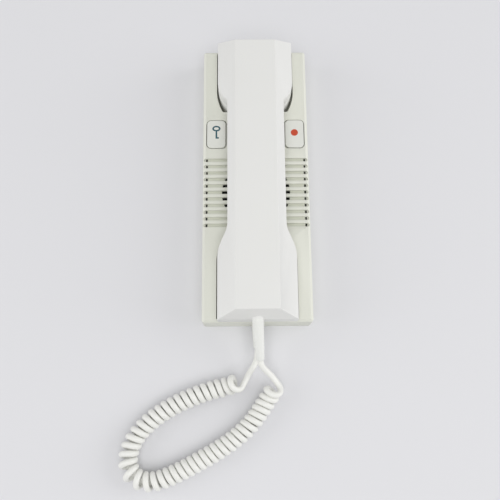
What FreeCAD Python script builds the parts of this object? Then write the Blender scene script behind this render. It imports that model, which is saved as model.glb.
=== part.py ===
import FreeCAD, Part
import math
import os

os.makedirs("parts", exist_ok=True)

Vector = FreeCAD.Vector
X_AXIS = Vector(1, 0, 0)
Y_AXIS = Vector(0, 1, 0)
Z_AXIS = Vector(0, 0, 1)
full_turn = 360.0
quarter_turn = full_turn / 4

# The station lies on its back, in millimetres. X is its width, Y its length with the ear end at +Y,
# Z points out of its front, and the origin is the middle of the face that goes against the wall.

# Cover of the base
cover_length = 216.0
cover_width = 80.0
cover_height = 22.0
cover_wall = 2.2
cover_corner_radius = 2.0
cover_edge_bevel = 1.8
cut_overrun = 3.0

# Pockets of the cover that take the handset's two ends; their places are shares of the cover's length
pocket_gap = 1.2
pocket_floor_height = 9.0
pocket_wall = 1.8
pocket_floor_thickness = 2.0
ear_pocket_inner_share = 0.2565
mouth_pocket_inner_share = -0.2153
ear_pocket_wide_share = 0.3375
ear_pocket_slant_degrees = 29.0
ear_pocket_wide_radius = 35.0
pocket_corner_radius = 1.5

# Slots of the speaker grille
slot_count = 11
grille_length_share = 0.2389
slot_width_share = 0.523
slot_middle_share = -0.0477
slot_end_inset = 0.7
slot_spine_width = 4.0

# Baffle plate behind the slots
baffle_thickness = 2.2
baffle_side_inset = 3.6
baffle_length_share = 0.2843
baffle_hole_inset = 2.8

# Push buttons, one each side of the handset
button_x_share = 0.7475
button_y_share = 0.1699
button_width_share = 0.1775
button_length_share = 0.1046
button_corner_radius = 3.2
button_gap = 0.6
button_inner_gap = 1.1
button_proud = 0.7
button_flange_margin = 1.3
button_flange_thickness = 1.4
button_play = 0.3
button_travel = 1.6
button_stem_radius = 2.0
button_edge_round = 0.5
guide_wall = 1.2
guide_depth = 3.2

# Marks on the buttons, moulded in a second colour
mark_depth = 0.5
key_ring_length = 6.3
key_ring_height = 4.7
key_stroke = 1.25
key_shaft_length = 6.6
key_bit_length = 1.9
key_ring_rise = 4.5
dot_radius = 2.75
dot_rise = 0.9

# Button springs and switches
spring_wire = 0.7
spring_mean_radius = 5.1
spring_turns = 3
switch_width = 6.0
switch_height = 1.5
switch_button_radius = 1.6
switch_button_height = 0.6

# Wall plate
plate_thickness = 2.4
plate_gap = 0.2
wall_hole_inset = 33.0
wall_hole_radius = 2.2
cable_entry_width = 22.0
cable_entry_length = 14.0
cable_entry_y_share = -0.2731

# Screws
screw_shank_radius = 1.45
screw_head_radius = 2.8
screw_clearance = 0.05
small_shank_radius = 1.1
small_head_radius = 2.1
small_head_height = 1.5
small_slot_width = 0.6
small_slot_depth = 0.6
post_radius = 3.5
ear_cover_screw_inset = 11.0
mouth_cover_screw_inset = 12.0
mouth_cover_screw_share = 0.5
cover_screw_tip_height = 1.0

# Circuit board and what it carries; places across are shares of the board's half width
board_drop = 10.0
board_thickness = 1.6
board_side_inset = 4.0
board_y_share = 0.169
board_length_share = 0.1296
board_post_radius = 3.0
board_post_inset = 3.0
board_screw_length = 6.0
terminal_width_share = 0.5
terminal_length = 9.0
terminal_height = 5.6
terminal_inset = 7.0
terminal_count = 6
terminal_screw_radius = 1.7
terminal_screw_height = 1.4
terminal_wire_radius = 1.3
terminal_wire_height = 2.0
terminal_wire_depth = 2.3
capacitor_radius = 2.6
capacitor_height = 5.4
capacitor_x_shares = (-0.41, -0.225)
capacitor_inset = 7.5
relay_width_share = 0.1667
relay_length = 9.0
relay_height = 5.5
relay_x_share = 0.33
relay_inset = 6.5
resistor_radius = 1.1
resistor_length = 5.0
resistor_pitch = 3.4
resistor_count = 3
resistor_inset = 3.0
resistor_lead_radius = 0.35
resistor_lead_reach = 1.0
connector_width = 10.0
connector_length = 8.0
connector_height = 5.0
connector_inset = 2.0
connector_post_gap = 1.0

# Hook lever in the ear pocket
lever_pin_inset = 11.4
lever_pin_z = 5.6
lever_pin_radius = 1.0
lever_running_clearance = 0.05
lever_hub_radius = 2.4
lever_half_width = 3.0
lever_thickness = 2.2
lever_long_arm = 18.0
lever_short_arm = 7.0
lever_nose_length = 3.0
lever_nose_round = 1.0
lever_rest_drop = 0.3
lever_window_margin = 0.8
lever_window_inset = 3.4
lever_window_length = 12.4
lever_window_top = 12.6
bracket_thickness = 2.0
bracket_side_gap = 0.3
bracket_reach = 3.5
hook_spring_wire = 0.6
hook_spring_radius = 1.9
hook_spring_turns = 3
hook_spring_pitch = 1.05
hook_spring_leg = 8.0
hook_spring_room = 6.2
hook_spring_lean = 0.8
spring_tab_reach = 5.5
spring_tab_length = 2.9
spring_tab_drop = 0.3
hook_switch_width = 12.8
hook_switch_length = 7.0
hook_switch_reach = 7.4
hook_switch_clearance = 1.0
hook_plunger_radius = 1.2
hook_plunger_gap = 0.2

# Loudspeaker of the base; its depths are shares of the height of the baffle's underside
speaker_margin = 2.2
speaker_flange_thickness = 1.0
speaker_surround_thickness = 0.5
speaker_flange_width = 3.5
speaker_basket_bottom_radius = 13.5
speaker_basket_sheet = 0.9
speaker_basket_bottom_share = 0.489
speaker_window_count = 4
speaker_window_width = 12.0
speaker_window_margin = 1.8
speaker_cone_rim_gap = 0.8
speaker_cone_neck_radius = 8.0
speaker_cone_sheet = 0.5
speaker_surround_dip = 1.0
speaker_surround_width = 1.5
speaker_pole_gap = 1.0
speaker_cone_neck_share = 0.682
speaker_cap_rise = 1.2
speaker_magnet_radius = 14.0
speaker_magnet_bottom_share = 0.193
speaker_clip_bite = 1.4
speaker_clip_thickness = 1.5
speaker_clip_width = 9.0
speaker_clip_length = 6.5
speaker_clip_gap = 0.3
speaker_screw_reach = 3.7

# Handset, as long as the base; its widths are shares of the cover's width
handset_wide_share = 0.71
handset_waist_share = 0.525
handset_flat_share = 0.375
handset_top = 47.4
handset_bevel_height = 34.0
handset_end_inset = 5.3
handset_parting_height = 30.0
handset_grip_underside = 27.8
handset_wall = 2.2
handset_edge_round = 0.7
handset_rest_gap = 0.3
handset_rim_gap = 0.5
handset_lap_height = 2.0
handset_lap_gap = 0.15
ear_wide_share = 0.3444
ear_slant_degrees = 41.0
ear_wide_radius = 25.5
ear_waist_radius = 4.0
mouth_wide_share = -0.294
mouth_slant_degrees = 27.0
mouth_wide_radius = 24.0
mouth_waist_radius = 16.0

# Caps, capsules and weight in the handset
cap_fit_gap = 0.3
cap_flange_margin = 2.0
cap_flange_thickness = 1.2
cap_hole_radius = 1.1
ear_cap_clearance = 2.5
ear_cap_hole_pitch = 4.4
ear_cap_hole_rings = 2
mouth_cap_radius = 12.0
mouth_cap_inset = 24.0
mouth_cap_hole_pitch = 4.4
mouth_cap_hole_rings = 1
receiver_inset = 0.5
receiver_gasket_width = 3.0
receiver_gasket_thickness = 1.5
receiver_height = 8.0
receiver_back_inset = 6.5
receiver_back_height = 3.6
receiver_terminal_width = 9.0
receiver_terminal_length = 5.0
receiver_terminal_height = 3.8
receiver_terminal_reach = 6.0
microphone_radius = 8.5
microphone_height = 6.0
microphone_cup_wall = 2.4
microphone_cup_lip = 1.6
weight_width = 22.0
weight_length_share = 0.25
weight_height = 7.0
weight_y_share = 0.0255
shell_boss_radius = 3.5
shell_screw_length = 12.0
shell_screw_y_shares = (0.213, -0.1574)

# Boots where the cord leaves the handset and the base
cord_diameter = 3.8
boot_plug_radius = 3.3
boot_plug_gap = 0.1
boot_root_radius = 4.2
boot_tip_radius = 2.9
boot_flange_radius = 4.6
boot_flange_thickness = 1.4
handset_boot_height = 33.0
handset_boot_reach = (1.6, -26.6, -13.5)
boot_hood_radius = 4.9
boot_hood_depth = 5.0
base_boot_height = 4.7
base_boot_length = 17.0
base_boot_plug_radius = 2.25
base_boot_plug_length = 5.0
clamp_width = 8.0
clamp_length = 6.0
clamp_inset = 11.0
clamp_top_height = 6.8
clamp_lug_width = 5.0
clamp_lug_height = 1.8

# Cable inside the base, from the boot to the connector on the board: straight ends, and between them
# shares of the cover's half width, of its half length and of the rise from the boot to the connector
tail_first_run = 14.0
tail_last_run = 5.1
tail_route_shares = (
    (0.125, -0.708, 0), (0.375, -0.611, 0), (0.640, -0.519, 0), (0.800, -0.398, 0), (0.830, -0.222, 0),
    (0.825, -0.130, 0), (0.772, -0.044, 0.23), (0.680, 0.031, 0.69), (0.625, 0.101, 0.92),
)

# Wire inside the handset, from the boot to the receiver: straight ends, and between them shares of the
# cover's half width, half length and the handset's top
handset_wire_diameter = 2.2
handset_wire_first_run = 9.3
handset_wire_last_run = 4.3
handset_wire_route_shares = (
    (0.160, -0.741, 0.688), (0.335, -0.593, 0.679), (0.395, -0.389, 0.675), (0.410, -0.111, 0.675),
    (0.395, 0.130, 0.671), (0.340, 0.324, 0.669), (0.205, 0.454, 0.671),
)
wire_drop_points = ((2.6, -14.1, 4.2), (0.3, -7.2, 0.8))

# Curly cord on the table, from its base end to its handset end, measured from the mouth end of the base;
# both its ends tip up
curl_outer_radius = 6.95
curl_pitch_at_base_end = 4.75
curl_pitch_at_handset_end = 4.4
curl_opening_share = 0.7
curl_opening_length = 3.0
curl_first_share = 1 / 12
curl_route = (
    (-14.4, -41.8, 12.4), (-16.7, -42.5, 9.8), (-22.6, -44.3, 7.0), (-34.0, -46.8, 7.0),
    (-47.2, -51.2, 7.0), (-61.6, -57.7, 7.0), (-75.4, -66.4, 7.0), (-86.0, -77.0, 7.0),
    (-91.4, -89.1, 7.0), (-90.8, -100.2, 7.0), (-83.8, -107.4, 7.0), (-72.8, -108.7, 7.0),
    (-59.4, -103.9, 7.0), (-45.1, -96.9, 7.0), (-30.5, -89.2, 7.0), (-17.6, -81.0, 7.0),
    (-6.9, -72.1, 7.0), (0.6, -62.6, 7.0), (6.9, -53.2, 7.0), (10.6, -47.5, 9.8),
    (12.0, -45.5, 12.4),
)

# Leads between the boots and the curls: straight ends and the points between them
base_lead_boot_run = 3.6
base_lead_curl_run = 4.2
base_lead_route = ((-1.1, -25.0, 4.9), (-3.5, -28.9, 5.4), (-6.8, -31.9, 6.7))
handset_lead_boot_run = 3.4
handset_lead_curl_run = 3.0
handset_lead_route = ((3.0, -32.4, 16.1), (5.1, -34.5, 14.0), (7.8, -35.7, 12.1))


def box(x0, x1, y0, y1, z0, z1):
    return Part.makeBox(x1 - x0, y1 - y0, z1 - z0, Vector(x0, y0, z0))


def disc(radius, x, y, z0, z1):
    return Part.makeCylinder(radius, z1 - z0, Vector(x, y, z0), Z_AXIS)


def rod_along_y(radius, x, z, y0, y1):
    return Part.makeCylinder(radius, y1 - y0, Vector(x, y0, z), Y_AXIS)


def rod_along_x(radius, y, z, x0, x1):
    return Part.makeCylinder(radius, x1 - x0, Vector(x0, y, z), X_AXIS)


def fuse_all(shapes):
    whole = shapes[0].multiFuse(shapes[1:])
    return whole.removeSplitter()


def mirrored_in_x(shape):
    return shape.mirror(Vector(0, 0, 0), X_AXIS)


def rounded_box(x0, x1, y0, y1, z0, z1, radius):
    block = box(x0, x1, y0, y1, z0, z1)
    upright = [edge for edge in block.Edges
               if abs(edge.Vertexes[0].Z - edge.Vertexes[-1].Z) > (z1 - z0) / 2]
    return block.makeFillet(radius, upright)


def polygon_prism(points, along):
    loop = [Vector(*point) for point in points]
    face = Part.Face(Part.makePolygon(loop + [loop[0]]))
    return face.extrude(along)


def turned(points, x, y):
    """Solid of revolution about an upright axis, from (radius, height) points."""
    loop = [Vector(radius, 0, height) for radius, height in points]
    face = Part.Face(Part.makePolygon(loop + [loop[0]]))
    solid = face.revolve(Vector(0, 0, 0), Z_AXIS, full_turn)
    solid.translate(Vector(x, y, 0))
    return solid


nodes = {}


def keep(name, shapes):
    """Store one named piece; a list is a group of identical pieces."""
    group = shapes if isinstance(shapes, list) else [shapes]
    solids = [solid for shape in group for solid in shape.Solids]
    nodes[name] = solids[0] if len(solids) == 1 else Part.makeCompound(solids)


# Heights and half sizes that several pieces share
half_length = cover_length / 2
half_width = cover_width / 2
front_underside = cover_height - cover_wall
pocket_outer_y = half_length - cover_wall
pocket_floor_underside = pocket_floor_height - pocket_floor_thickness
baffle_underside = front_underside - baffle_thickness
speaker_basket_bottom_height = baffle_underside * speaker_basket_bottom_share
speaker_cone_neck_height = baffle_underside * speaker_cone_neck_share
speaker_magnet_bottom_height = baffle_underside * speaker_magnet_bottom_share
board_underside = cover_height - board_drop
board_top = board_underside + board_thickness
wide_half = half_width * handset_wide_share
waist_half = half_width * handset_waist_share
flat_half_width = half_width * handset_flat_share
handset_half_length = half_length
handset_bottom = pocket_floor_height + handset_rest_gap
handset_rim_height = cover_height + handset_rim_gap
cup_floor_top = handset_bottom + handset_wall

# Places along the length
ear_pocket_inner_y = cover_length * ear_pocket_inner_share
mouth_pocket_inner_y = cover_length * mouth_pocket_inner_share
ear_cup_inner_y = ear_pocket_inner_y + pocket_gap
mouth_cup_inner_y = mouth_pocket_inner_y - pocket_gap
cup_outer_y = pocket_outer_y - pocket_gap
ear_wide_y = cover_length * ear_wide_share
ear_pocket_wide_y = cover_length * ear_pocket_wide_share
mouth_wide_y = cover_length * mouth_wide_share
slot_middle_y = cover_length * slot_middle_share
slot_pitch = cover_length * grille_length_share / (slot_count - 1)
slot_width = slot_pitch * slot_width_share
baffle_length = cover_length * baffle_length_share
button_y = cover_length * button_y_share
button_length = cover_length * button_length_share
board_length = cover_length * board_length_share
board_near_y = cover_length * board_y_share - board_length / 2
board_far_y = board_near_y + board_length
terminal_y = board_far_y - terminal_inset
wall_hole_spacing = cover_length - wall_hole_inset * 2
cable_entry_y = cover_length * cable_entry_y_share
clamp_y = clamp_inset - half_length
lever_pin_y = ear_pocket_inner_y - lever_pin_inset
hook_switch_y = lever_pin_y - hook_switch_reach
shell_screw_places_y = tuple(cover_length * share for share in shell_screw_y_shares)

# Places and sizes across the width
slot_reach = half_width - slot_end_inset
baffle_width = cover_width - baffle_side_inset * 2
button_x = half_width * button_x_share
button_width = cover_width * button_width_share
board_width = cover_width - board_side_inset * 2
board_post_x = board_width / 2 - board_post_inset
connector_x = board_post_x - board_post_radius - connector_post_gap - connector_width / 2
connector_near_y = board_near_y + connector_inset
terminal_width = board_width * terminal_width_share
relay_width = board_width * relay_width_share

# Radii of the loudspeaker and of the receiver with its cap
speaker_radius = baffle_length / 2 - speaker_margin
speaker_flange_inner_radius = speaker_radius - speaker_flange_width
speaker_cone_rim_radius = speaker_flange_inner_radius - speaker_cone_rim_gap
speaker_clip_reach = speaker_radius + speaker_clip_length
speaker_screw_circle_radius = speaker_radius + speaker_screw_reach
baffle_hole_radius = speaker_radius - baffle_hole_inset
ear_cup_room = cup_outer_y - ear_cup_inner_y - handset_wall * 2
ear_cap_y = (cup_outer_y + ear_cup_inner_y) / 2
ear_cap_radius = ear_cup_room / 2 - cap_flange_margin - ear_cap_clearance
mouth_cap_y = mouth_cap_inset - half_length
receiver_radius = ear_cap_radius - receiver_inset
receiver_back_radius = receiver_radius - receiver_back_inset


def from_mouth_end(points):
    return [(x, y - half_length, z) for x, y, z in points]


# Plan outline of the handset, which the cover's pockets follow with a gap
def arc_through(centre, radius, angles):
    ends = [Vector(centre[0] + radius * math.cos(a), centre[1] + radius * math.sin(a), 0) for a in angles]
    return Part.Arc(*ends).toShape()


def flare(offset, wide_y, slant, wide_radius, waist_radius, towards_waist):
    """Edges on the +X side from the wide end to the waist; towards_waist is -1 or 1 along Y."""
    outer_radius = wide_radius + offset
    inner_radius = waist_radius - offset
    straight_free = math.acos(1 - (wide_half - waist_half) / (wide_radius + waist_radius))
    bend = min(math.radians(slant), straight_free)
    width_drop = wide_half - waist_half - (wide_radius + waist_radius) * (1 - math.cos(bend))
    rise = (wide_radius + waist_radius) * math.sin(bend) + width_drop / math.tan(bend)
    waist_y = wide_y + towards_waist * rise
    outer_centre = (wide_half - wide_radius, wide_y)
    inner_centre = (waist_half + waist_radius, waist_y)
    outer_arc = arc_through(outer_centre, outer_radius,
                            [0, towards_waist * bend / 2, towards_waist * bend])
    inner_arc = arc_through(inner_centre, inner_radius,
                            [math.pi + towards_waist * bend, math.pi + towards_waist * bend / 2, math.pi])
    slope_start = outer_arc.Vertexes[-1].Point
    slope_end = inner_arc.Vertexes[0].Point
    if slope_start.distanceToPoint(slope_end) < least_run:
        return [outer_arc, inner_arc]
    return [outer_arc, Part.makeLine(slope_start, slope_end), inner_arc]


least_run = 1e-4
handset_ear_flare = (ear_wide_y, ear_slant_degrees, ear_wide_radius, ear_waist_radius)
pocket_ear_flare = (ear_pocket_wide_y, ear_pocket_slant_degrees, ear_pocket_wide_radius, ear_waist_radius)
mouth_flare = (mouth_wide_y, mouth_slant_degrees, mouth_wide_radius, mouth_waist_radius)


def plan_outline(offset, ear_flare):
    """Plan outline of the handset, grown outwards by offset, in the plane of the wall."""
    x = wide_half + offset
    y = handset_half_length + offset
    ear = flare(offset, *ear_flare, -1)
    mouth = flare(offset, *mouth_flare, 1)
    side = ear + mouth
    side.append(Part.makeLine(Vector(x, y, 0), ear[0].Vertexes[0].Point))
    side.append(Part.makeLine(ear[-1].Vertexes[-1].Point, mouth[-1].Vertexes[-1].Point))
    side.append(Part.makeLine(mouth[0].Vertexes[0].Point, Vector(x, -y, 0)))
    ends = [Part.makeLine(Vector(-x, end_y, 0), Vector(x, end_y, 0)) for end_y in (y, -y)]
    edges = side + [mirrored_in_x(edge) for edge in side] + ends
    return Part.Wire(Part.__sortEdges__(edges))


def outline_prism(offset, z0, z1, y0=-cover_length, y1=cover_length, ear_flare=handset_ear_flare):
    face = Part.Face(plan_outline(offset, ear_flare))
    prism = face.extrude(Vector(0, 0, z1 - z0))
    prism.translate(Vector(0, 0, z0))
    return prism.common(box(-cover_width, cover_width, y0, y1, z0, z1))


# Tubes along a route of straight runs joined by tangent arcs
arc_share = 0.45


def rounded_path(points, diameter, name):
    """Wire through the points, of straight runs and arcs that take a share of the shorter run beside them."""
    corners = [Vector(*point) for point in points]
    edges = []
    radii = []
    start = corners[0]
    for before, corner, after in zip(corners, corners[1:], corners[2:]):
        run_in = corner - before
        run_out = after - corner
        trim = arc_share * min(run_in.Length, run_out.Length)
        run_in.normalize()
        run_out.normalize()
        half_turn = run_in.getAngle(run_out) / 2
        radius = trim / math.tan(half_turn)
        inwards = (run_out - run_in).normalize()
        middle = corner + inwards * (radius / math.cos(half_turn) - radius)
        edges.append(Part.makeLine(start, corner - run_in * trim))
        edges.append(Part.Arc(corner - run_in * trim, middle, corner + run_out * trim).toShape())
        radii.append(radius / diameter)
        start = corner + run_out * trim
    edges.append(Part.makeLine(start, corners[-1]))
    print(name, "bend radii in diameters", [round(radius, 1) for radius in radii])
    return Part.Wire(edges)


def round_tube(path, start, ahead, diameter, name):
    """Pipe along a path, whose volume is compared with its section times its length."""
    profile = Part.Wire(Part.makeCircle(diameter / 2, start, ahead))
    tube = path.makePipeShell([profile], True, False)
    share = tube.Volume / (math.pi * diameter ** 2 / 4 * path.Length)
    print(name, "length", round(path.Length, 1), "volume share", round(share, 4), "valid", tube.isValid())
    return tube


def tube_along(points, diameter, name):
    path = rounded_path(points, diameter, name)
    start = Vector(*points[0])
    return round_tube(path, start, Vector(*points[1]) - start, diameter, name)


# Wound tubes, of arcs that keep the winding's points and tangents
quarters = 4
gap_samples = 4
small_step = 1e-4


def arc_middle(start, tangent, end):
    """Middle of the arc that leaves start along the tangent and reaches end."""
    chord = end - start
    along = Vector(chord).normalize()
    sideways = (tangent - along * tangent.dot(along)).normalize()
    return start + chord / 2 + sideways * (chord.Length / 2 * math.tan(tangent.getAngle(along) / 2))


def biarc(start, start_tangent, end, end_tangent):
    """Two arcs from start to end that keep both tangents."""
    chord = end - start
    both = chord.dot(start_tangent + end_tangent)
    spread = 2 * (1 - start_tangent.dot(end_tangent))
    reach = (math.sqrt(both ** 2 + spread * chord.dot(chord)) - both) / spread
    joint = (start + start_tangent * reach + end - end_tangent * reach) / 2
    first = Part.Arc(start, arc_middle(start, start_tangent, joint), joint)
    second = Part.Arc(joint, arc_middle(end, end_tangent * -1, joint), end)
    return [first.toShape(), second.toShape()]


def least_gap(edges, wire):
    """Least distance between the surfaces of neighbouring turns, on points of the winding's arcs."""
    points = [point for edge in edges for point in edge.discretize(gap_samples + 1)[:-1]]
    per_turn = 2 * quarters * gap_samples
    least = (points[0] - points[per_turn]).Length
    for index, here in enumerate(points):
        for there in points[index + per_turn // 2:index + per_turn * 2]:
            least = min(least, here.distanceToPoint(there))
    return least - wire


def wound_tube(points, tangents, end_length, wire, name):
    """Tube through a winding's quarter-turn points, with straight ends of a given length."""
    arcs = []
    for here, here_tangent, there, there_tangent in zip(points, tangents, points[1:], tangents[1:]):
        arcs.extend(biarc(here, here_tangent, there, there_tangent))
    print(name, "least gap to itself", round(least_gap(arcs, wire), 2))
    start = points[0] - tangents[0] * end_length
    end = points[-1] + tangents[-1] * end_length
    if end_length > 0:
        arcs = [Part.makeLine(start, points[0])] + arcs + [Part.makeLine(points[-1], end)]
    return round_tube(Part.Wire(arcs), start, tangents[0], wire, name)


# Base: wall plate
plate_half_width = half_width - cover_wall - plate_gap
plate_half_length = half_length - cover_wall - plate_gap
mouth_screw_x = half_width * mouth_cover_screw_share
mouth_screw_y = mouth_cover_screw_inset - half_length
cover_screw_places = ((0, half_length - ear_cover_screw_inset), (mouth_screw_x, mouth_screw_y),
                      (-mouth_screw_x, mouth_screw_y))
board_screw_places = tuple((side * board_post_x, y) for side in (1, -1)
                           for y in (board_near_y + board_post_inset, board_far_y - board_post_inset))
lever_bracket_inner = (-lever_half_width - bracket_side_gap, lever_half_width + hook_spring_room)


def lever_bracket(x0, x1):
    near_y = lever_pin_y - bracket_reach
    far_y = lever_pin_y + bracket_reach
    foot = box(x0, x1, near_y, far_y, plate_thickness, lever_pin_z)
    eye = rod_along_x(bracket_reach, lever_pin_y, lever_pin_z, x0, x1)
    return foot.fuse(eye).common(box(x0, x1, near_y, far_y, plate_thickness, cover_height))


def make_wall_plate():
    plate = rounded_box(-plate_half_width, plate_half_width, -plate_half_length, plate_half_length,
                        0, plate_thickness, cover_corner_radius)
    pieces = [plate]
    for x, y in cover_screw_places:
        pieces.append(disc(post_radius, x, y, plate_thickness, pocket_floor_underside))
    for x, y in board_screw_places:
        pieces.append(disc(board_post_radius, x, y, plate_thickness, board_underside))
    low_x, high_x = lever_bracket_inner
    pieces.append(lever_bracket(low_x - bracket_thickness, low_x))
    pieces.append(lever_bracket(high_x, high_x + bracket_thickness))
    solid = fuse_all(pieces)
    over = plate_thickness + cut_overrun
    cuts = [disc(wall_hole_radius, 0, side * wall_hole_spacing / 2, -cut_overrun, over) for side in (1, -1)]
    cuts.append(rounded_box(-cable_entry_width / 2, cable_entry_width / 2,
                            cable_entry_y - cable_entry_length / 2, cable_entry_y + cable_entry_length / 2,
                            -cut_overrun, over, cover_corner_radius))
    for x, y in cover_screw_places:
        cuts.append(disc(screw_shank_radius + screw_clearance, x, y, cover_screw_tip_height, cover_height))
    for x, y in board_screw_places:
        cuts.append(disc(small_shank_radius + screw_clearance, x, y,
                         board_top - board_screw_length - screw_clearance, cover_height))
    for side in (1, -1):
        cuts.append(disc(small_shank_radius + screw_clearance, side * clamp_screw_x, clamp_y,
                         -cut_overrun, cover_height))
    cuts.append(rod_along_x(lever_pin_radius + screw_clearance / 2, lever_pin_y, lever_pin_z,
                            low_x - bracket_thickness - cut_overrun,
                            high_x + bracket_thickness + cut_overrun))
    return solid.cut(Part.makeCompound(cuts))


clamp_screw_x = clamp_width / 2 + clamp_lug_width / 2


# Base: front cover
def pocket(inner_y, outer_y, grow, z0, z1):
    low_y = min(inner_y, outer_y)
    high_y = max(inner_y, outer_y)
    return outline_prism(pocket_gap + grow, z0, z1, low_y, high_y, pocket_ear_flare)


def round_inner_corners(prism, inner_y):
    """Round the two upright corners at a pocket's inner end."""
    corners = [edge for edge in prism.Edges if edge.BoundBox.YLength < least_run
               and edge.BoundBox.XLength < least_run and abs(edge.BoundBox.YMin - inner_y) < least_run]
    return prism.makeFillet(pocket_corner_radius, corners)


def grille_slots():
    slots = []
    low = front_underside
    high = cover_height + cut_overrun
    round_end_x = slot_reach - slot_width / 2
    first = slot_middle_y - slot_pitch * (slot_count - 1) / 2
    for index in range(slot_count):
        y = first + index * slot_pitch
        slot = box(slot_spine_width / 2, round_end_x, y - slot_width / 2, y + slot_width / 2, low, high)
        slot = slot.fuse(disc(slot_width / 2, round_end_x, y, low, high))
        slots.append(slot)
        slots.append(mirrored_in_x(slot))
    return slots


# The button's opening is wider on the side that faces the handset
opening_inner_x = button_x - button_width / 2 - button_inner_gap
opening_outer_x = button_x + button_width / 2 + button_gap
opening_half_length = button_length / 2 + button_gap
flange_inner_x = opening_inner_x - button_flange_margin
flange_outer_x = button_x + button_width / 2
flange_half_length = opening_half_length + button_flange_margin
flange_top = front_underside - button_play
flange_underside = flange_top - button_flange_thickness


def button_opening():
    return rounded_box(opening_inner_x, opening_outer_x, button_y - opening_half_length,
                       button_y + opening_half_length, front_underside - cut_overrun,
                       cover_height + cut_overrun, button_corner_radius + button_gap)


def button_guide():
    inner_x = flange_inner_x - button_play
    outer_x = half_width - cover_wall
    reach = flange_half_length + button_play
    skirt = box(inner_x - guide_wall, outer_x, button_y - reach - guide_wall,
                button_y + reach + guide_wall, front_underside - guide_depth, front_underside)
    return skirt.cut(box(inner_x, outer_x + cut_overrun, button_y - reach, button_y + reach,
                         front_underside - guide_depth - cut_overrun, front_underside))


def make_front_cover():
    block = rounded_box(-half_width, half_width, -half_length, half_length, 0, cover_height,
                        cover_corner_radius)
    long_edges = [edge for edge in block.Edges
                  if edge.BoundBox.ZMin > cover_height / 2 and edge.BoundBox.YLength > cover_length / 2]
    block = block.makeChamfer(cover_edge_bevel, long_edges)
    inner_x = half_width - cover_wall
    inner_y = half_length - cover_wall
    block = block.cut(box(-inner_x, inner_x, -inner_y, inner_y, -cut_overrun, front_underside))
    tub_ends = ((ear_pocket_inner_y - pocket_wall, inner_y), (mouth_pocket_inner_y + pocket_wall, -inner_y))
    tubs = [pocket(inner_end, outer_end, pocket_wall, pocket_floor_underside, front_underside)
            for inner_end, outer_end in tub_ends]
    guide = button_guide()
    solid = fuse_all([block] + tubs + [guide, mirrored_in_x(guide)])
    opening = button_opening()
    cuts = grille_slots() + [opening, mirrored_in_x(opening)]
    top = cover_height + cut_overrun
    for inner_end, outer_end in ((ear_pocket_inner_y, pocket_outer_y), (mouth_pocket_inner_y, -pocket_outer_y)):
        opening = pocket(inner_end, outer_end, 0, pocket_floor_height, top)
        cuts.append(round_inner_corners(opening, inner_end))
    window = lever_half_width + lever_window_margin
    window_y = ear_pocket_inner_y - lever_window_inset
    cuts.append(box(-window, window, window_y, window_y + lever_window_length,
                    pocket_floor_underside - cut_overrun, lever_window_top))
    for x, y in cover_screw_places:
        cuts.append(disc(screw_shank_radius + screw_clearance, x, y, 0, top))
        cuts.append(screw_head_cone(x, y, screw_clearance))
    cuts.append(rod_along_y(base_boot_plug_radius + boot_plug_gap, 0, base_boot_height,
                            -half_length - cut_overrun, -inner_y + cut_overrun / 2))
    return solid.cut(Part.makeCompound(cuts))


screw_head_height = screw_head_radius - screw_shank_radius
screw_head_sink = 0.2


def screw_head_cone(x, y, grow):
    top = pocket_floor_height - screw_head_sink
    if grow > 0:
        top = pocket_floor_height
    bottom = pocket_floor_height - screw_head_sink - screw_head_height
    top_radius = screw_shank_radius + (top - bottom)
    return Part.makeCone(screw_shank_radius + grow, top_radius + grow, top - bottom,
                         Vector(x, y, bottom), Z_AXIS)


def cover_screw(x, y):
    head = screw_head_cone(x, y, 0)
    shank = disc(screw_shank_radius, x, y, cover_screw_tip_height + screw_clearance, head.BoundBox.ZMin)
    top = head.BoundBox.ZMax
    slot = box(x - screw_head_radius, x + screw_head_radius, y - small_slot_width / 2,
               y + small_slot_width / 2, top - small_slot_depth, top + cut_overrun)
    return head.fuse(shank).removeSplitter().cut(slot)


# Base: baffle plate behind the slots
clip_count = 4
clip_angles = [full_turn / clip_count * (index + 0.5) for index in range(clip_count)]


def around_speaker(shape, angle):
    placed = shape.copy()
    placed.rotate(Vector(0, slot_middle_y, 0), Z_AXIS, angle)
    return placed


def make_grille_baffle():
    plate = rounded_box(-baffle_width / 2, baffle_width / 2, slot_middle_y - baffle_length / 2,
                        slot_middle_y + baffle_length / 2, baffle_underside, front_underside,
                        cover_corner_radius)
    low = baffle_underside - cut_overrun
    high = front_underside + cut_overrun
    cuts = [disc(baffle_hole_radius, 0, slot_middle_y, low, high)]
    pilot = disc(small_shank_radius + screw_clearance, speaker_screw_circle_radius, slot_middle_y, low, high)
    cuts.extend(around_speaker(pilot, angle) for angle in clip_angles)
    return plate.cut(Part.makeCompound(cuts))


# Base: loudspeaker
flange_face_height = baffle_underside - speaker_surround_thickness
speaker_flange_underside = flange_face_height - speaker_flange_thickness


def make_speaker_basket():
    profile = (
        (speaker_radius, flange_face_height),
        (speaker_flange_inner_radius, flange_face_height),
        (speaker_basket_bottom_radius, speaker_basket_bottom_height + speaker_basket_sheet),
        (speaker_cone_neck_radius, speaker_basket_bottom_height + speaker_basket_sheet),
        (speaker_cone_neck_radius, speaker_basket_bottom_height),
        (speaker_basket_bottom_radius + speaker_basket_sheet, speaker_basket_bottom_height),
        (speaker_flange_inner_radius + speaker_basket_sheet, speaker_flange_underside),
        (speaker_radius, speaker_flange_underside),
    )
    basket = turned(profile, 0, slot_middle_y)
    window_low = speaker_basket_bottom_height + speaker_window_margin
    window_high = speaker_flange_underside - speaker_window_margin
    window = box(speaker_cone_neck_radius, speaker_radius, slot_middle_y - speaker_window_width / 2,
                 slot_middle_y + speaker_window_width / 2, window_low, window_high)
    windows = [around_speaker(window, quarter_turn * index) for index in range(speaker_window_count)]
    return basket.cut(Part.makeCompound(windows))


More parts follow.
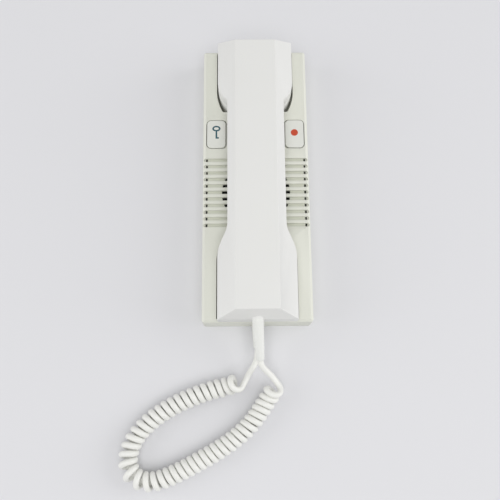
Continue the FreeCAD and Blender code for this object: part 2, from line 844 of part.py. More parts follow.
def make_speaker_cone():
    neck = speaker_cone_neck_height
    sheet = speaker_cone_sheet
    profile = (
        (speaker_radius - speaker_flange_thickness, baffle_underside),
        (speaker_cone_rim_radius, baffle_underside),
        (speaker_cone_rim_radius - speaker_surround_width, baffle_underside - speaker_surround_dip),
        (speaker_cone_neck_radius, neck),
        (0, neck + speaker_cap_rise),
        (0, neck + speaker_cap_rise - sheet),
        (speaker_cone_neck_radius, neck - sheet),
        (speaker_cone_rim_radius - speaker_surround_dip, flange_face_height - speaker_surround_dip),
        (speaker_cone_rim_radius, flange_face_height),
        (speaker_radius - speaker_flange_thickness, flange_face_height),
    )
    return turned(profile, 0, slot_middle_y)


def make_speaker_magnet():
    body = disc(speaker_magnet_radius, 0, slot_middle_y, speaker_magnet_bottom_height,
                speaker_basket_bottom_height)
    pole = disc(speaker_cone_neck_radius - speaker_basket_sheet, 0, slot_middle_y,
                speaker_basket_bottom_height, speaker_cone_neck_height - speaker_pole_gap)
    return fuse_all([body, pole])


def speaker_clip(angle):
    foot_x = speaker_radius + speaker_clip_gap
    near_y = slot_middle_y - speaker_clip_width / 2
    far_y = slot_middle_y + speaker_clip_width / 2
    bite = box(speaker_radius - speaker_clip_bite, speaker_clip_reach, near_y, far_y,
               speaker_flange_underside - speaker_clip_thickness, speaker_flange_underside)
    foot = box(foot_x, speaker_clip_reach, near_y, far_y, speaker_flange_underside, baffle_underside)
    foot = foot.cut(disc(foot_x, 0, slot_middle_y, 0, cover_height))
    clip = fuse_all([bite, foot])
    hole = disc(small_shank_radius + screw_clearance, speaker_screw_circle_radius, slot_middle_y,
                0, cover_height)
    return around_speaker(clip.cut(hole), angle)


def pan_screw(x, y, head_face, tip, points_up):
    """Pan-head screw with an upright shank; points_up is True where the head lies below the tip."""
    direction = -1 if points_up else 1
    head_end = head_face + direction * small_head_height
    head = disc(small_head_radius, x, y, min(head_face, head_end), max(head_face, head_end))
    shank = disc(small_shank_radius, x, y, min(head_face, tip), max(head_face, tip))
    slot_end = head_end - direction * small_slot_depth
    slot = box(x - small_head_radius, x + small_head_radius, y - small_slot_width / 2,
               y + small_slot_width / 2, min(head_end, slot_end), max(head_end, slot_end))
    return fuse_all([head, shank]).cut(slot)


# Base: circuit board and what is soldered to it
def make_circuit_board():
    board = box(-board_width / 2, board_width / 2, board_near_y, board_far_y, board_underside, board_top)
    holes = [disc(small_shank_radius + screw_clearance, x, y, 0, cover_height) for x, y in board_screw_places]
    return board.cut(Part.makeCompound(holes))


def terminal_places():
    pitch = terminal_width / terminal_count
    return [pitch * (index + 0.5) - terminal_width / 2 for index in range(terminal_count)]


def make_terminal_block():
    top = board_top + terminal_height
    block = box(-terminal_width / 2, terminal_width / 2, terminal_y - terminal_length / 2,
                terminal_y + terminal_length / 2, board_top, top)
    cuts = []
    for x in terminal_places():
        cuts.append(disc(terminal_screw_radius + screw_clearance, x, terminal_y,
                         top - terminal_screw_height - small_slot_depth, top + cut_overrun))
        cuts.append(rod_along_y(terminal_wire_radius, x, board_top + terminal_wire_height,
                                terminal_y - terminal_length, terminal_y - terminal_wire_depth))
    return block.cut(Part.makeCompound(cuts))


def terminal_screw(x):
    top = board_top + terminal_height - small_slot_depth
    head = disc(terminal_screw_radius, x, terminal_y, top - terminal_screw_height, top)
    slot = box(x - terminal_screw_radius, x + terminal_screw_radius, terminal_y - small_slot_width / 2,
               terminal_y + small_slot_width / 2, top - small_slot_depth, top)
    return head.cut(slot)


def resistor(index):
    y = board_near_y + resistor_inset + index * resistor_pitch
    z = board_top + resistor_radius
    body = rod_along_x(resistor_radius, y, z, -resistor_length / 2, resistor_length / 2)
    reach = resistor_length / 2 + resistor_lead_reach
    lead = rod_along_x(resistor_lead_radius, y, z, -reach, reach)
    legs = [disc(resistor_lead_radius, side * reach, y, board_top, z) for side in (1, -1)]
    ends = [Part.makeSphere(resistor_lead_radius, Vector(side * reach, y, z)) for side in (1, -1)]
    return fuse_all([body, lead] + legs + ends)


# Base: switches, buttons, marks and springs; built at +X and mirrored to -X
def make_switch():
    half = switch_width / 2
    body = box(button_x - half, button_x + half, button_y - half, button_y + half,
               board_top, board_top + switch_height)
    plunger = disc(switch_button_radius, button_x, button_y, board_top + switch_height,
                   board_top + switch_height + switch_button_height)
    return fuse_all([body, plunger])


button_top = cover_height + button_proud


def red_dot():
    return disc(dot_radius, button_x, button_y + dot_rise, button_top - mark_depth, button_top)


def key_mark():
    """Oval ring, shaft and bit of a key, built at +X; the mirrored button shows it the right way round."""
    low = button_top - mark_depth
    ring_y = button_y + key_ring_rise
    outer = Part.Ellipse(Vector(0, 0, 0), key_ring_length / 2, key_ring_height / 2).toShape()
    inner = Part.Ellipse(Vector(0, 0, 0), key_ring_length / 2 - key_stroke,
                         key_ring_height / 2 - key_stroke).toShape()
    ring = Part.Face([Part.Wire(outer), Part.Wire(inner)]).extrude(Vector(0, 0, mark_depth))
    ring.translate(Vector(button_x, ring_y, low))
    shaft_top = ring_y - key_ring_height / 2 + key_stroke / 2
    shaft_low = shaft_top - key_shaft_length
    shaft = box(button_x - key_stroke / 2, button_x + key_stroke / 2, shaft_low, shaft_top, low, button_top)
    bit = box(button_x - key_bit_length, button_x, shaft_low, shaft_low + key_stroke, low, button_top)
    return fuse_all([ring, shaft, bit])


def make_button(mark):
    cap = rounded_box(button_x - button_width / 2, button_x + button_width / 2, button_y - button_length / 2,
                      button_y + button_length / 2, flange_underside, button_top, button_corner_radius)
    rim = [edge for edge in cap.Edges if edge.BoundBox.ZMin > cover_height]
    cap = cap.makeFillet(button_edge_round, rim)
    flange = box(flange_inner_x, flange_outer_x, button_y - flange_half_length, button_y + flange_half_length,
                 flange_underside, flange_top)
    stem_end = board_top + switch_height + switch_button_height + button_travel + button_play
    stem = disc(button_stem_radius, button_x, button_y, stem_end, flange_underside)
    return fuse_all([cap, flange, stem]).cut(mark)


def helix(mean_radius, turns, rise):
    """Quarter-turn points and tangents of a straight helix up from the origin."""
    points = []
    tangents = []
    for quarter in range(turns * quarters + 1):
        phase = 2 * math.pi * quarter / quarters
        points.append(Vector(mean_radius * math.cos(phase), mean_radius * math.sin(phase),
                             rise * quarter / (turns * quarters)))
        tangents.append(Vector(-mean_radius * math.sin(phase), mean_radius * math.cos(phase),
                               rise / turns / (2 * math.pi)).normalize())
    return points, tangents


def make_button_spring():
    low = board_top + spring_wire / 2
    rise = flange_underside - spring_wire / 2 - low
    points, tangents = helix(spring_mean_radius, spring_turns, rise)
    coil = wound_tube(points, tangents, 0, spring_wire, "button spring")
    coil.translate(Vector(button_x, button_y, low))
    return coil.common(box(0, cover_width, 0, half_length, board_top, flange_underside))


# Base: hook lever, its pin, spring and switch
def make_hook_lever():
    half = lever_thickness / 2
    nose_top = pocket_floor_height + handset_rest_gap - lever_rest_drop
    far_y = lever_pin_y + lever_long_arm
    arm = box(-lever_half_width, lever_half_width, lever_pin_y - lever_short_arm, far_y,
              lever_pin_z - half, lever_pin_z + half)
    hub = rod_along_x(lever_hub_radius, lever_pin_y, lever_pin_z, -lever_half_width, lever_half_width)
    nose = box(-lever_half_width, lever_half_width, far_y - lever_nose_length, far_y, lever_pin_z, nose_top)
    tab_bottom = lever_pin_z - hook_spring_radius + hook_spring_wire / 2 + spring_tab_drop
    tab_y = lever_pin_y + spring_tab_reach
    tab = box(lever_half_width, lever_bracket_inner[1] - bracket_side_gap, tab_y, tab_y + spring_tab_length,
              tab_bottom, lever_pin_z + half)
    lever = fuse_all([arm, hub, nose, tab])
    top_edges = [edge for edge in lever.Edges if edge.BoundBox.ZMin > nose_top - lever_rest_drop
                 and edge.BoundBox.XLength > lever_half_width]
    lever = lever.makeFillet(lever_nose_round, top_edges)
    return lever.cut(rod_along_x(lever_pin_radius + lever_running_clearance, lever_pin_y, lever_pin_z,
                                 -cover_width, cover_width))


def make_hook_spring():
    """Torsion spring round the pin; one leg lies behind the pin and one under the lever's tab."""
    points, tangents = helix(hook_spring_radius, hook_spring_turns, hook_spring_pitch * hook_spring_turns)
    coil = wound_tube(points, tangents, hook_spring_leg, hook_spring_wire, "hook spring")
    coil.rotate(Vector(0, 0, 0), Y_AXIS, quarter_turn)
    first_turn_x = lever_half_width + hook_spring_pitch / 2 + hook_spring_lean
    coil.translate(Vector(first_turn_x, lever_pin_y, lever_pin_z))
    return coil


def make_hook_switch():
    half = hook_switch_width / 2
    low = lever_pin_z + lever_thickness / 2 + hook_switch_clearance
    body = box(-half, half, hook_switch_y - hook_switch_length / 2, hook_switch_y + hook_switch_length / 2,
               low, board_underside)
    plunger = disc(hook_plunger_radius, 0, lever_pin_y - lever_short_arm + hook_plunger_radius,
                   lever_pin_z + lever_thickness / 2 + hook_plunger_gap, low)
    return fuse_all([body, plunger])


# Boots, clamp and cable of the cord
def cone_between(start, end, start_radius, end_radius):
    axis = end - start
    return Part.makeCone(start_radius, end_radius, axis.Length, start, axis)


handset_boot_root = Vector(0, -handset_half_length, handset_boot_height)
handset_boot_end = handset_boot_root + Vector(*handset_boot_reach)
handset_boot_axis = (handset_boot_end - handset_boot_root).normalize()
base_boot_root = Vector(0, -half_length, base_boot_height)
base_boot_end = base_boot_root - Y_AXIS * base_boot_length


def make_handset_boot():
    axis = handset_boot_axis
    start = handset_boot_root - axis * boot_root_radius
    sleeve = cone_between(start, handset_boot_end, boot_root_radius, boot_tip_radius)
    sleeve = sleeve.cut(box(-cover_width, cover_width, -handset_half_length, 0, -cover_height, cover_length))
    flange_start = -handset_half_length + handset_wall + boot_plug_gap
    flange_end = flange_start + boot_flange_thickness
    plug = rod_along_y(boot_plug_radius, 0, handset_boot_height, -handset_half_length, flange_end)
    flange = rod_along_y(boot_flange_radius, 0, handset_boot_height, flange_start, flange_end)
    lower_half = box(-cover_width, cover_width, flange_start, flange_end, 0, handset_boot_height)
    return fuse_all([sleeve, plug, flange.common(lower_half)])


def make_base_boot():
    sleeve = cone_between(base_boot_root, base_boot_end, boot_root_radius, boot_tip_radius)
    plug = rod_along_y(base_boot_plug_radius, 0, base_boot_height, -half_length,
                       -half_length + base_boot_plug_length)
    return fuse_all([sleeve, plug])


def make_cord_clamp():
    near_y = clamp_y - clamp_length / 2
    far_y = clamp_y + clamp_length / 2
    lug_x = clamp_width / 2 + clamp_lug_width
    block = box(-clamp_width / 2, clamp_width / 2, near_y, far_y, plate_thickness, clamp_top_height)
    lugs = box(-lug_x, lug_x, near_y, far_y, plate_thickness, plate_thickness + clamp_lug_height)
    cuts = [rod_along_y(cord_diameter / 2 + boot_plug_gap, 0, base_boot_height, clamp_y - clamp_length,
                        clamp_y + clamp_length)]
    for side in (1, -1):
        cuts.append(disc(small_shank_radius + screw_clearance, side * clamp_screw_x, clamp_y,
                         0, cover_height))
    return fuse_all([block, lugs]).cut(Part.makeCompound(cuts))


def route_in_box(shares, x, y, z):
    return [(x * share_x, y * share_y, z * share_z) for share_x, share_y, share_z in shares]


def make_base_cord_tail():
    start = (0, -half_length + base_boot_plug_length, base_boot_height)
    end = (connector_x, connector_near_y, board_underside - connector_height / 2)
    points = [start, (0, start[1] + tail_first_run, base_boot_height)]
    rise = end[2] - base_boot_height
    points += [(x, y, base_boot_height + z) for x, y, z
               in route_in_box(tail_route_shares, half_width, half_length, rise)]
    points += [(connector_x, connector_near_y - tail_last_run, end[2]), end]
    return tube_along(points, cord_diameter, "cable in the base")


def make_handset_wire():
    start = (0, -half_length + handset_wall + boot_plug_gap + boot_flange_thickness, handset_boot_height)
    end = (0, ear_cap_y - receiver_terminal_reach, receiver_back_top + receiver_terminal_height / 2)
    points = [start, (0, start[1] + handset_wire_first_run, handset_boot_height)]
    points += route_in_box(handset_wire_route_shares, half_width, half_length, handset_top)
    points += [(x, end[1] + y, end[2] + z) for x, y, z in wire_drop_points]
    points += [(0, end[1] - handset_wire_last_run, end[2]), end]
    return tube_along(points, handset_wire_diameter, "wire in the handset")


# Curly cord
curl_mean_radius = curl_outer_radius - cord_diameter / 2
curl_samples = 800
route_degree = 2


def curl_centreline():
    """Smooth curve of degree two that follows the route's points and starts and ends on them."""
    poles = [Vector(*point) for point in from_mouth_end(curl_route)]
    spans = len(poles) - route_degree
    curve = Part.BSplineCurve()
    curve.buildFromPolesMultsKnots(poles, [route_degree + 1] + [1] * (spans - 1) + [route_degree + 1],
                                   [float(knot) for knot in range(spans + 1)], False, route_degree)
    return curve


def bend_at(places, index, reach):
    """Curvature of the centreline, taken over about one curl radius each way."""
    first = places[max(index - reach, 0)]
    last = places[min(index + reach, len(places) - 1)]
    run_in = places[index] - first
    run_out = last - places[index]
    if run_in.Length * run_out.Length == 0:
        return 0
    return run_in.getAngle(run_out) * 2 / (run_in.Length + run_out.Length)


def curl_turns(places, length):
    """Turns so far at each place; curls keep their pitch inside a bend, and the last one opens."""
    run = 0
    turns = [0]
    for index in range(len(places) - 1):
        stride = places[index].distanceToPoint(places[index + 1])
        bend = bend_at(places, index, round(curl_mean_radius / stride))
        share = run / length
        closed_pitch = curl_pitch_at_base_end * (1 - share) + curl_pitch_at_handset_end * share
        opening = 1 + curl_opening_share * max(0, 1 - (length - run) / curl_opening_length)
        turns.append(turns[-1] + stride * (1 - bend * curl_mean_radius) / (closed_pitch * opening))
        run += stride
    whole = round(turns[-1] + curl_first_share)
    scale = (whole - curl_first_share) / turns[-1]
    print("curls", whole, "scale", round(scale, 3))
    return [curl_first_share + value * scale for value in turns]


def curl_wire_at(curve, parameter, turns):
    """Point of the wire's middle; the turns are counted from where it passes under the centreline."""
    ahead = curve.tangent(parameter)[0]
    left = Z_AXIS.cross(ahead).normalize()
    over = ahead.cross(left)
    phase = 2 * math.pi * turns
    return curve.value(parameter) + left * (curl_mean_radius * math.sin(phase)) - over * (
        curl_mean_radius * math.cos(phase))


def make_curls():
    """Points and tangents of the wire, about a quarter turn apart."""
    curve = curl_centreline()
    step = curve.LastParameter / curl_samples
    places = [curve.value(index * step) for index in range(curl_samples + 1)]
    turns = curl_turns(places, curve.length())
    count = round((turns[-1] - turns[0]) * quarters)
    points = []
    tangents = []
    row = 0
    for index in range(count + 1):
        wanted = turns[0] + (turns[-1] - turns[0]) * index / count
        while row < curl_samples - 1 and turns[row + 1] < wanted:
            row += 1
        rate = (turns[row + 1] - turns[row]) / step
        parameter = row * step + (wanted - turns[row]) / rate
        before = max(parameter - small_step, 0)
        after = min(parameter + small_step, curve.LastParameter)
        behind = curl_wire_at(curve, before, wanted + (before - parameter) * rate)
        ahead = curl_wire_at(curve, after, wanted + (after - parameter) * rate)
        points.append(curl_wire_at(curve, parameter, wanted))
        tangents.append((ahead - behind).normalize())
    return points, tangents


curl_points, curl_tangents = make_curls()
curl_start = curl_points[0] - curl_tangents[0] * cord_diameter
curl_end = curl_points[-1] + curl_tangents[-1] * cord_diameter


def lead_points(boot_end, boot_axis, boot_run, route, curl_end_point, curl_direction, curl_run):
    """Route of a lead that leaves the boot and meets the curls square to them."""
    first = boot_end + boot_axis * boot_run
    last = curl_end_point + curl_direction * curl_run
    return [tuple(boot_end), tuple(first)] + from_mouth_end(route) + [tuple(last), tuple(curl_end_point)]


def make_base_lead():
    points = lead_points(base_boot_end, Y_AXIS * -1, base_lead_boot_run, base_lead_route,
                         curl_start, curl_tangents[0] * -1, base_lead_curl_run)
    return tube_along(points, cord_diameter, "lead at the base")


def make_handset_lead():
    points = lead_points(handset_boot_end, handset_boot_axis, handset_lead_boot_run, handset_lead_route,
                         curl_end, curl_tangents[-1], handset_lead_curl_run)
    return tube_along(points, cord_diameter, "lead at the handset")


# Handset: two shells
def handset_block(inset, low):
    """Solid of the handset's outside above a height, drawn in by inset on every face."""
    top = handset_top - inset
    plan = outline_prism(-inset, low, top)
    bevel_run = wide_half - flat_half_width
    bevel_rise = handset_top - handset_bevel_height
    slope_length = math.hypot(bevel_run, bevel_rise)
    flat_half = flat_half_width - inset * (slope_length - bevel_run) / bevel_rise
    side_height = handset_bevel_height - inset * (slope_length - bevel_rise) / bevel_run
    side_half = wide_half - inset
    reach = handset_half_length + cut_overrun
    section = ((-side_half, low), (-side_half, side_height), (-flat_half, top),
               (flat_half, top), (side_half, side_height), (side_half, low))
    across = polygon_prism([(x, -reach, z) for x, z in section], Vector(0, 2 * reach, 0))
    end_length = math.hypot(handset_end_inset, bevel_rise)
    end_half = handset_half_length - inset
    end_height = handset_bevel_height - inset * (end_length - bevel_rise) / handset_end_inset
    end_top = handset_half_length - handset_end_inset - inset * (end_length - handset_end_inset) / bevel_rise
    reach = wide_half + cut_overrun
    section = ((-end_half, low), (-end_half, end_height), (-end_top, top),
               (end_top, top), (end_half, end_height), (end_half, low))
    along = polygon_prism([(-reach, y, z) for y, z in section], Vector(2 * reach, 0, 0))
    return plan.common(across).common(along)


def boot_hole():
    return rod_along_y(boot_plug_radius + boot_plug_gap, 0, handset_boot_height,
                       -handset_half_length - cut_overrun, -handset_half_length + handset_wall + cut_overrun)


def boot_hood():
    """Half-round hood on the sloped end, over the boot."""
    hood = rod_along_y(boot_hood_radius, 0, handset_boot_height, -handset_half_length,
                       -handset_half_length + boot_hood_depth)
    return hood.common(box(-cover_width, cover_width, -cover_length, 0, handset_boot_height, cover_length))


def make_outer_shell():
    low = handset_parting_height
    block = handset_block(0, low)
    long_edges = [edge for edge in block.Edges
                  if edge.BoundBox.ZMin > low + handset_lap_height and edge.Length > handset_end_inset]
    block = block.makeFillet(handset_edge_round, long_edges)
    block = block.fuse(boot_hood())
    hollow = handset_block(handset_wall, low)
    rebate = outline_prism(-handset_wall / 2 + handset_lap_gap, low,
                           low + handset_lap_height + handset_lap_gap)
    shell = block.cut(hollow).cut(rebate)
    ceiling = handset_top - handset_wall
    bosses = [disc(shell_boss_radius, 0, y, low, ceiling) for y in shell_screw_places_y]
    shell = fuse_all([shell] + bosses)
    cuts = [boot_hole()]
    for y in shell_screw_places_y:
        cuts.append(disc(small_shank_radius + screw_clearance, 0, y, 0,
                         handset_grip_underside + shell_screw_length + screw_clearance))
    return shell.cut(Part.makeCompound(cuts))


def cup(inner_y, outer_y, inset, low, high):
    direction = 1 if outer_y > 0 else -1
    ends = (inner_y + direction * inset, outer_y - direction * inset)
    return outline_prism(-inset, low, high, min(ends), max(ends))


def make_inner_shell():
    low = handset_parting_height
    deck = outline_prism(0, handset_grip_underside, low)
    pieces = [deck]
    hollows = []
    for inner_y, side in ((ear_cup_inner_y, 1), (mouth_cup_inner_y, -1)):
        pieces.append(cup(inner_y, side * cup_outer_y, 0, handset_bottom, low))
        pieces.append(cup(side * (cup_outer_y - handset_wall), side * handset_half_length, 0,
                          handset_rim_height, low))
        hollows.append(cup(inner_y, side * cup_outer_y, handset_wall, cup_floor_top, low + cut_overrun))
        hollows.append(cup(inner_y, side * handset_half_length, handset_wall,
                           handset_rim_height + handset_wall, low + cut_overrun))
    shell = fuse_all(pieces).cut(Part.makeCompound(hollows))
    tongue = outline_prism(-handset_wall / 2, low, low + handset_lap_height)
    tongue = tongue.cut(outline_prism(-handset_wall, low, low + handset_lap_height))
    shell = fuse_all([shell, tongue])
    cuts = [boot_hole()]
    cuts.append(disc(ear_cap_radius + cap_fit_gap, 0, ear_cap_y, 0, cup_floor_top))
    cuts.append(disc(mouth_cap_radius + cap_fit_gap, 0, mouth_cap_y, 0, cup_floor_top))
    for y in shell_screw_places_y:
        cuts.append(disc(small_shank_radius + screw_clearance, 0, y, 0, low + cut_overrun))
    return shell.cut(Part.makeCompound(cuts))


def shell_screw(y):
    return pan_screw(0, y, handset_grip_underside, handset_grip_underside + shell_screw_length, True)


# Handset: caps with sound holes, capsules, weight
def hex_places(pitch, rings):
    places = []
    for row in range(-rings, rings + 1):
        for column in range(-rings, rings + 1):
            if abs(row + column) <= rings:
                places.append((pitch * (column + row / 2), pitch * row * math.sqrt(3) / 2))
    return places


def sound_cap(radius, y, hole_pitch, hole_rings):
    cap = disc(radius, 0, y, handset_bottom, cup_floor_top)
    flange = disc(radius + cap_flange_margin, 0, y, cup_floor_top, cup_floor_top + cap_flange_thickness)
    holes = [disc(cap_hole_radius, x, y + dy, 0, cover_height)
             for x, dy in hex_places(hole_pitch, hole_rings)]
    return fuse_all([cap, flange]).cut(Part.makeCompound(holes))


cap_top = cup_floor_top + cap_flange_thickness
gasket_top = cap_top + receiver_gasket_thickness
receiver_back_top = gasket_top + receiver_height + receiver_back_height


def make_receiver_gasket():
    ring = disc(receiver_radius, 0, ear_cap_y, cap_top, gasket_top)
    return ring.cut(disc(receiver_radius - receiver_gasket_width, 0, ear_cap_y, 0, cover_height))


def make_receiver_capsule():
    front = disc(receiver_radius, 0, ear_cap_y, gasket_top, gasket_top + receiver_height)
    back = disc(receiver_back_radius, 0, ear_cap_y, gasket_top + receiver_height, receiver_back_top)
    terminal_near_y = ear_cap_y - receiver_terminal_reach
    terminal = box(-receiver_terminal_width / 2, receiver_terminal_width / 2, terminal_near_y,
                   terminal_near_y + receiver_terminal_length, receiver_back_top,
                   receiver_back_top + receiver_terminal_height)
    return fuse_all([front, back, terminal])


def make_microphone_cup():
    radius = microphone_radius + microphone_cup_wall
    cup_body = disc(radius, 0, mouth_cap_y, cap_top, cap_top + microphone_cup_lip + microphone_height)
    bore = disc(microphone_radius, 0, mouth_cap_y, cap_top + microphone_cup_lip, handset_parting_height)
    port = disc(microphone_radius - microphone_cup_lip, 0, mouth_cap_y, 0, handset_parting_height)
    return cup_body.cut(bore).cut(port)


def make_microphone_capsule():
    low = cap_top + microphone_cup_lip
    return disc(microphone_radius, 0, mouth_cap_y, low, low + microphone_height)


def make_ballast_weight():
    middle_y = cover_length * weight_y_share
    half = cover_length * weight_length_share / 2
    return box(-weight_width / 2, weight_width / 2, middle_y - half, middle_y + half,
               handset_parting_height, handset_parting_height + weight_height)


# Assembly
keep("wall_plate", make_wall_plate())
keep("front_cover", make_front_cover())
keep("cover_screws", [cover_screw(x, y) for x, y in cover_screw_places])
keep("grille_baffle", make_grille_baffle())
keep("speaker_basket", make_speaker_basket())
keep("speaker_cone", make_speaker_cone())
keep("speaker_magnet", make_speaker_magnet())
keep("speaker_clips", [speaker_clip(angle) for angle in clip_angles])
clip_face = speaker_flange_underside - speaker_clip_thickness
keep("speaker_screws", [around_speaker(pan_screw(speaker_screw_circle_radius, slot_middle_y, clip_face,
                                                 front_underside - screw_clearance, True), angle)
                        for angle in clip_angles])
keep("circuit_board", make_circuit_board())
keep("board_screws", [pan_screw(x, y, board_top, board_top - board_screw_length, False)
                      for x, y in board_screw_places])
keep("terminal_block", make_terminal_block())
keep("terminal_screws", [terminal_screw(x) for x in terminal_places()])
keep("board_capacitors", [disc(capacitor_radius, x, board_near_y + capacitor_inset, board_top,
                               board_top + capacitor_height)
                          for x in (share * board_width / 2 for share in capacitor_x_shares)])
relay_near_x = relay_x_share * board_width / 2 - relay_width / 2
relay_near_y = board_near_y + relay_inset - relay_length / 2
keep("board_relay", box(relay_near_x, relay_near_x + relay_width, relay_near_y, relay_near_y + relay_length,
                        board_top, board_top + relay_height))
keep("board_resistors", [resistor(index) for index in range(resistor_count)])
keep("cord_connector", box(connector_x - connector_width / 2, connector_x + connector_width / 2,
                           connector_near_y, connector_near_y + connector_length,
                           board_underside - connector_height, board_underside))
switch = make_switch()
keep("call_switch", switch)
keep("door_switch", mirrored_in_x(switch))
dot = red_dot()
key = key_mark()
keep("call_button", make_button(dot))
keep("call_button_dot", dot)
keep("door_button", mirrored_in_x(make_button(key)))
keep("door_button_key", mirrored_in_x(key))
button_spring = make_button_spring()
keep("call_button_spring", button_spring)
keep("door_button_spring", mirrored_in_x(button_spring))
keep("hook_lever", make_hook_lever())
keep("hook_pin", rod_along_x(lever_pin_radius, lever_pin_y, lever_pin_z,
                             lever_bracket_inner[0] - bracket_thickness,
                             lever_bracket_inner[1] + bracket_thickness))
keep("hook_spring", make_hook_spring())
keep("hook_switch", make_hook_switch())
keep("cord_clamp", make_cord_clamp())
keep("clamp_screws", [pan_screw(side * clamp_screw_x, clamp_y, plate_thickness + clamp_lug_height,
                                screw_clearance, False) for side in (1, -1)])
keep("base_cord_tail", make_base_cord_tail())
keep("handset_outer_shell", make_outer_shell())
keep("handset_inner_shell", make_inner_shell())
keep("handset_screws", [shell_screw(y) for y in shell_screw_places_y])
keep("ear_cap", sound_cap(ear_cap_radius, ear_cap_y, ear_cap_hole_pitch, ear_cap_hole_rings))
keep("mouth_cap", sound_cap(mouth_cap_radius, mouth_cap_y, mouth_cap_hole_pitch, mouth_cap_hole_rings))
keep("receiver_gasket", make_receiver_gasket())
keep("receiver_capsule", make_receiver_capsule())
keep("microphone_cup", make_microphone_cup())
keep("microphone_capsule", make_microphone_capsule())
keep("ballast_weight", make_ballast_weight())
keep("handset_wire", make_handset_wire())
keep("handset_cord_boot", make_handset_boot())
keep("base_cord_boot", make_base_boot())
keep("base_lead", make_base_lead())
keep("cord_coil", wound_tube(curl_points, curl_tangents, cord_diameter, cord_diameter, "curly cord"))
keep("handset_lead", make_handset_lead())

for name, shape in nodes.items():
    state = "valid" if shape.isValid() else "INVALID"
    print(name, len(shape.Solids), "solids", round(shape.Volume, 1), "mm3", state)
    shape.exportStep(os.path.join("parts", name + ".step"))
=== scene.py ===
import math

import bmesh
import bpy
from mathutils import Matrix, Vector


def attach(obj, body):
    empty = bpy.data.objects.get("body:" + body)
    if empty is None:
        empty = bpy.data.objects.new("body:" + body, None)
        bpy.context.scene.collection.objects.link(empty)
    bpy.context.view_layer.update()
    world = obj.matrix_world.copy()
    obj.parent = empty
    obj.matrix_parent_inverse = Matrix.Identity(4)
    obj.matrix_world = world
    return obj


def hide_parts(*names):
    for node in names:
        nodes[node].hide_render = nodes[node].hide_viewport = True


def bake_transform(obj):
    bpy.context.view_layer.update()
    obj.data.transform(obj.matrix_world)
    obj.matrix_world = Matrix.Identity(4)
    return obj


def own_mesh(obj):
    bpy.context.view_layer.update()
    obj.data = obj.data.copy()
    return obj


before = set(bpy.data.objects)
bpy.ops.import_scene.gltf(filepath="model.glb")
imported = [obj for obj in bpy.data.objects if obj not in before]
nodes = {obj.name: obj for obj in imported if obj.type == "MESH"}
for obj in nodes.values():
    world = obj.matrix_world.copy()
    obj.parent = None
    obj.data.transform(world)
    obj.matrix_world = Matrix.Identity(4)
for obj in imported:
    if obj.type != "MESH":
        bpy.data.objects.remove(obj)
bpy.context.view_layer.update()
scene = bpy.context.scene


# Camera. The station is seen from above its mouth end, as it lies on the desk.
field_of_view = math.radians(42.376)
camera_place = Vector((-0.0083, -0.1742, 0.4787))
camera_pitch = 0.25499
camera_roll_y = -0.00702
camera_roll_z = -0.00778
camera_nearest = 0.01
camera_farthest = 10

camera_data = bpy.data.cameras.new("camera")
camera_data.sensor_fit = "HORIZONTAL"
camera_data.angle = field_of_view
camera_data.clip_start = camera_nearest
camera_data.clip_end = camera_farthest
camera = bpy.data.objects.new("camera", camera_data)
camera.matrix_world = (Matrix.Translation(camera_place) @ Matrix.Rotation(camera_pitch, 4, "X")
                       @ Matrix.Rotation(camera_roll_y, 4, "Y") @ Matrix.Rotation(camera_roll_z, 4, "Z"))
scene.collection.objects.link(camera)
scene.camera = camera


def linear(colour):
    """Linear colour of an sRGB hex value."""
    channels = [int(colour[place:place + 2], 16) / 255 for place in (1, 3, 5)]
    return [c / 12.92 if c <= 0.04045 else ((c + 0.055) / 1.055) ** 2.4 for c in channels] + [1.0]


def add_node(tree, kind, settings=None, inputs=None, links=None):
    """Adds a node to a tree, with its settings, input values and links."""
    node = tree.nodes.new(kind)
    for name, value in (settings or {}).items():
        setattr(node, name, value)
    for name, value in (inputs or {}).items():
        node.inputs[name].default_value = value
    for name, source in (links or {}).items():
        tree.links.new(source, node.inputs[name])
    return node


def new_object(name, mesh):
    """An object of its own in the scene for a mesh."""
    made = bpy.data.objects.new(name, mesh)
    scene.collection.objects.link(made)
    return made


# Desk and studio. A painted white desk top in an even white room, with a large soft box low on each side, the
# right one a little stronger, and one above the near edge of the desk that lights the insides of slots and gaps.
# Each soft box has its direction from the desk and its watts. The paint is matt, a little bluer than the part.
desk_white = "#DFDFE2"
desk_roughness = 0.7
desk_half_width = 1.1
room_seen_grey = "#DEDEE1"
room_strength = 0.50
soft_box_size = 2.0
soft_box_distance = 2.6
soft_boxes = (((0.9, 0.04, 0.42), 26.0), ((-0.9, -0.04, 0.42), 19.2), ((0.02, -0.45, 1.0), 22.6))

desk_paint = bpy.data.materials.new("desk_white_paint")
desk_paint.use_nodes = True
desk_shader = desk_paint.node_tree.nodes["Principled BSDF"]
desk_shader.inputs["Base Color"].default_value = linear(desk_white)
desk_shader.inputs["Roughness"].default_value = desk_roughness
desk_mesh = bpy.data.meshes.new("desk_top")
desk_corners = [(x * desk_half_width, y * desk_half_width, 0) for x, y in ((-1, -1), (1, -1), (1, 1), (-1, 1))]
desk_mesh.from_pydata(desk_corners, [], [(0, 1, 2, 3)])
desk_mesh.materials.append(desk_paint)
desk = new_object("desk_top", desk_mesh)

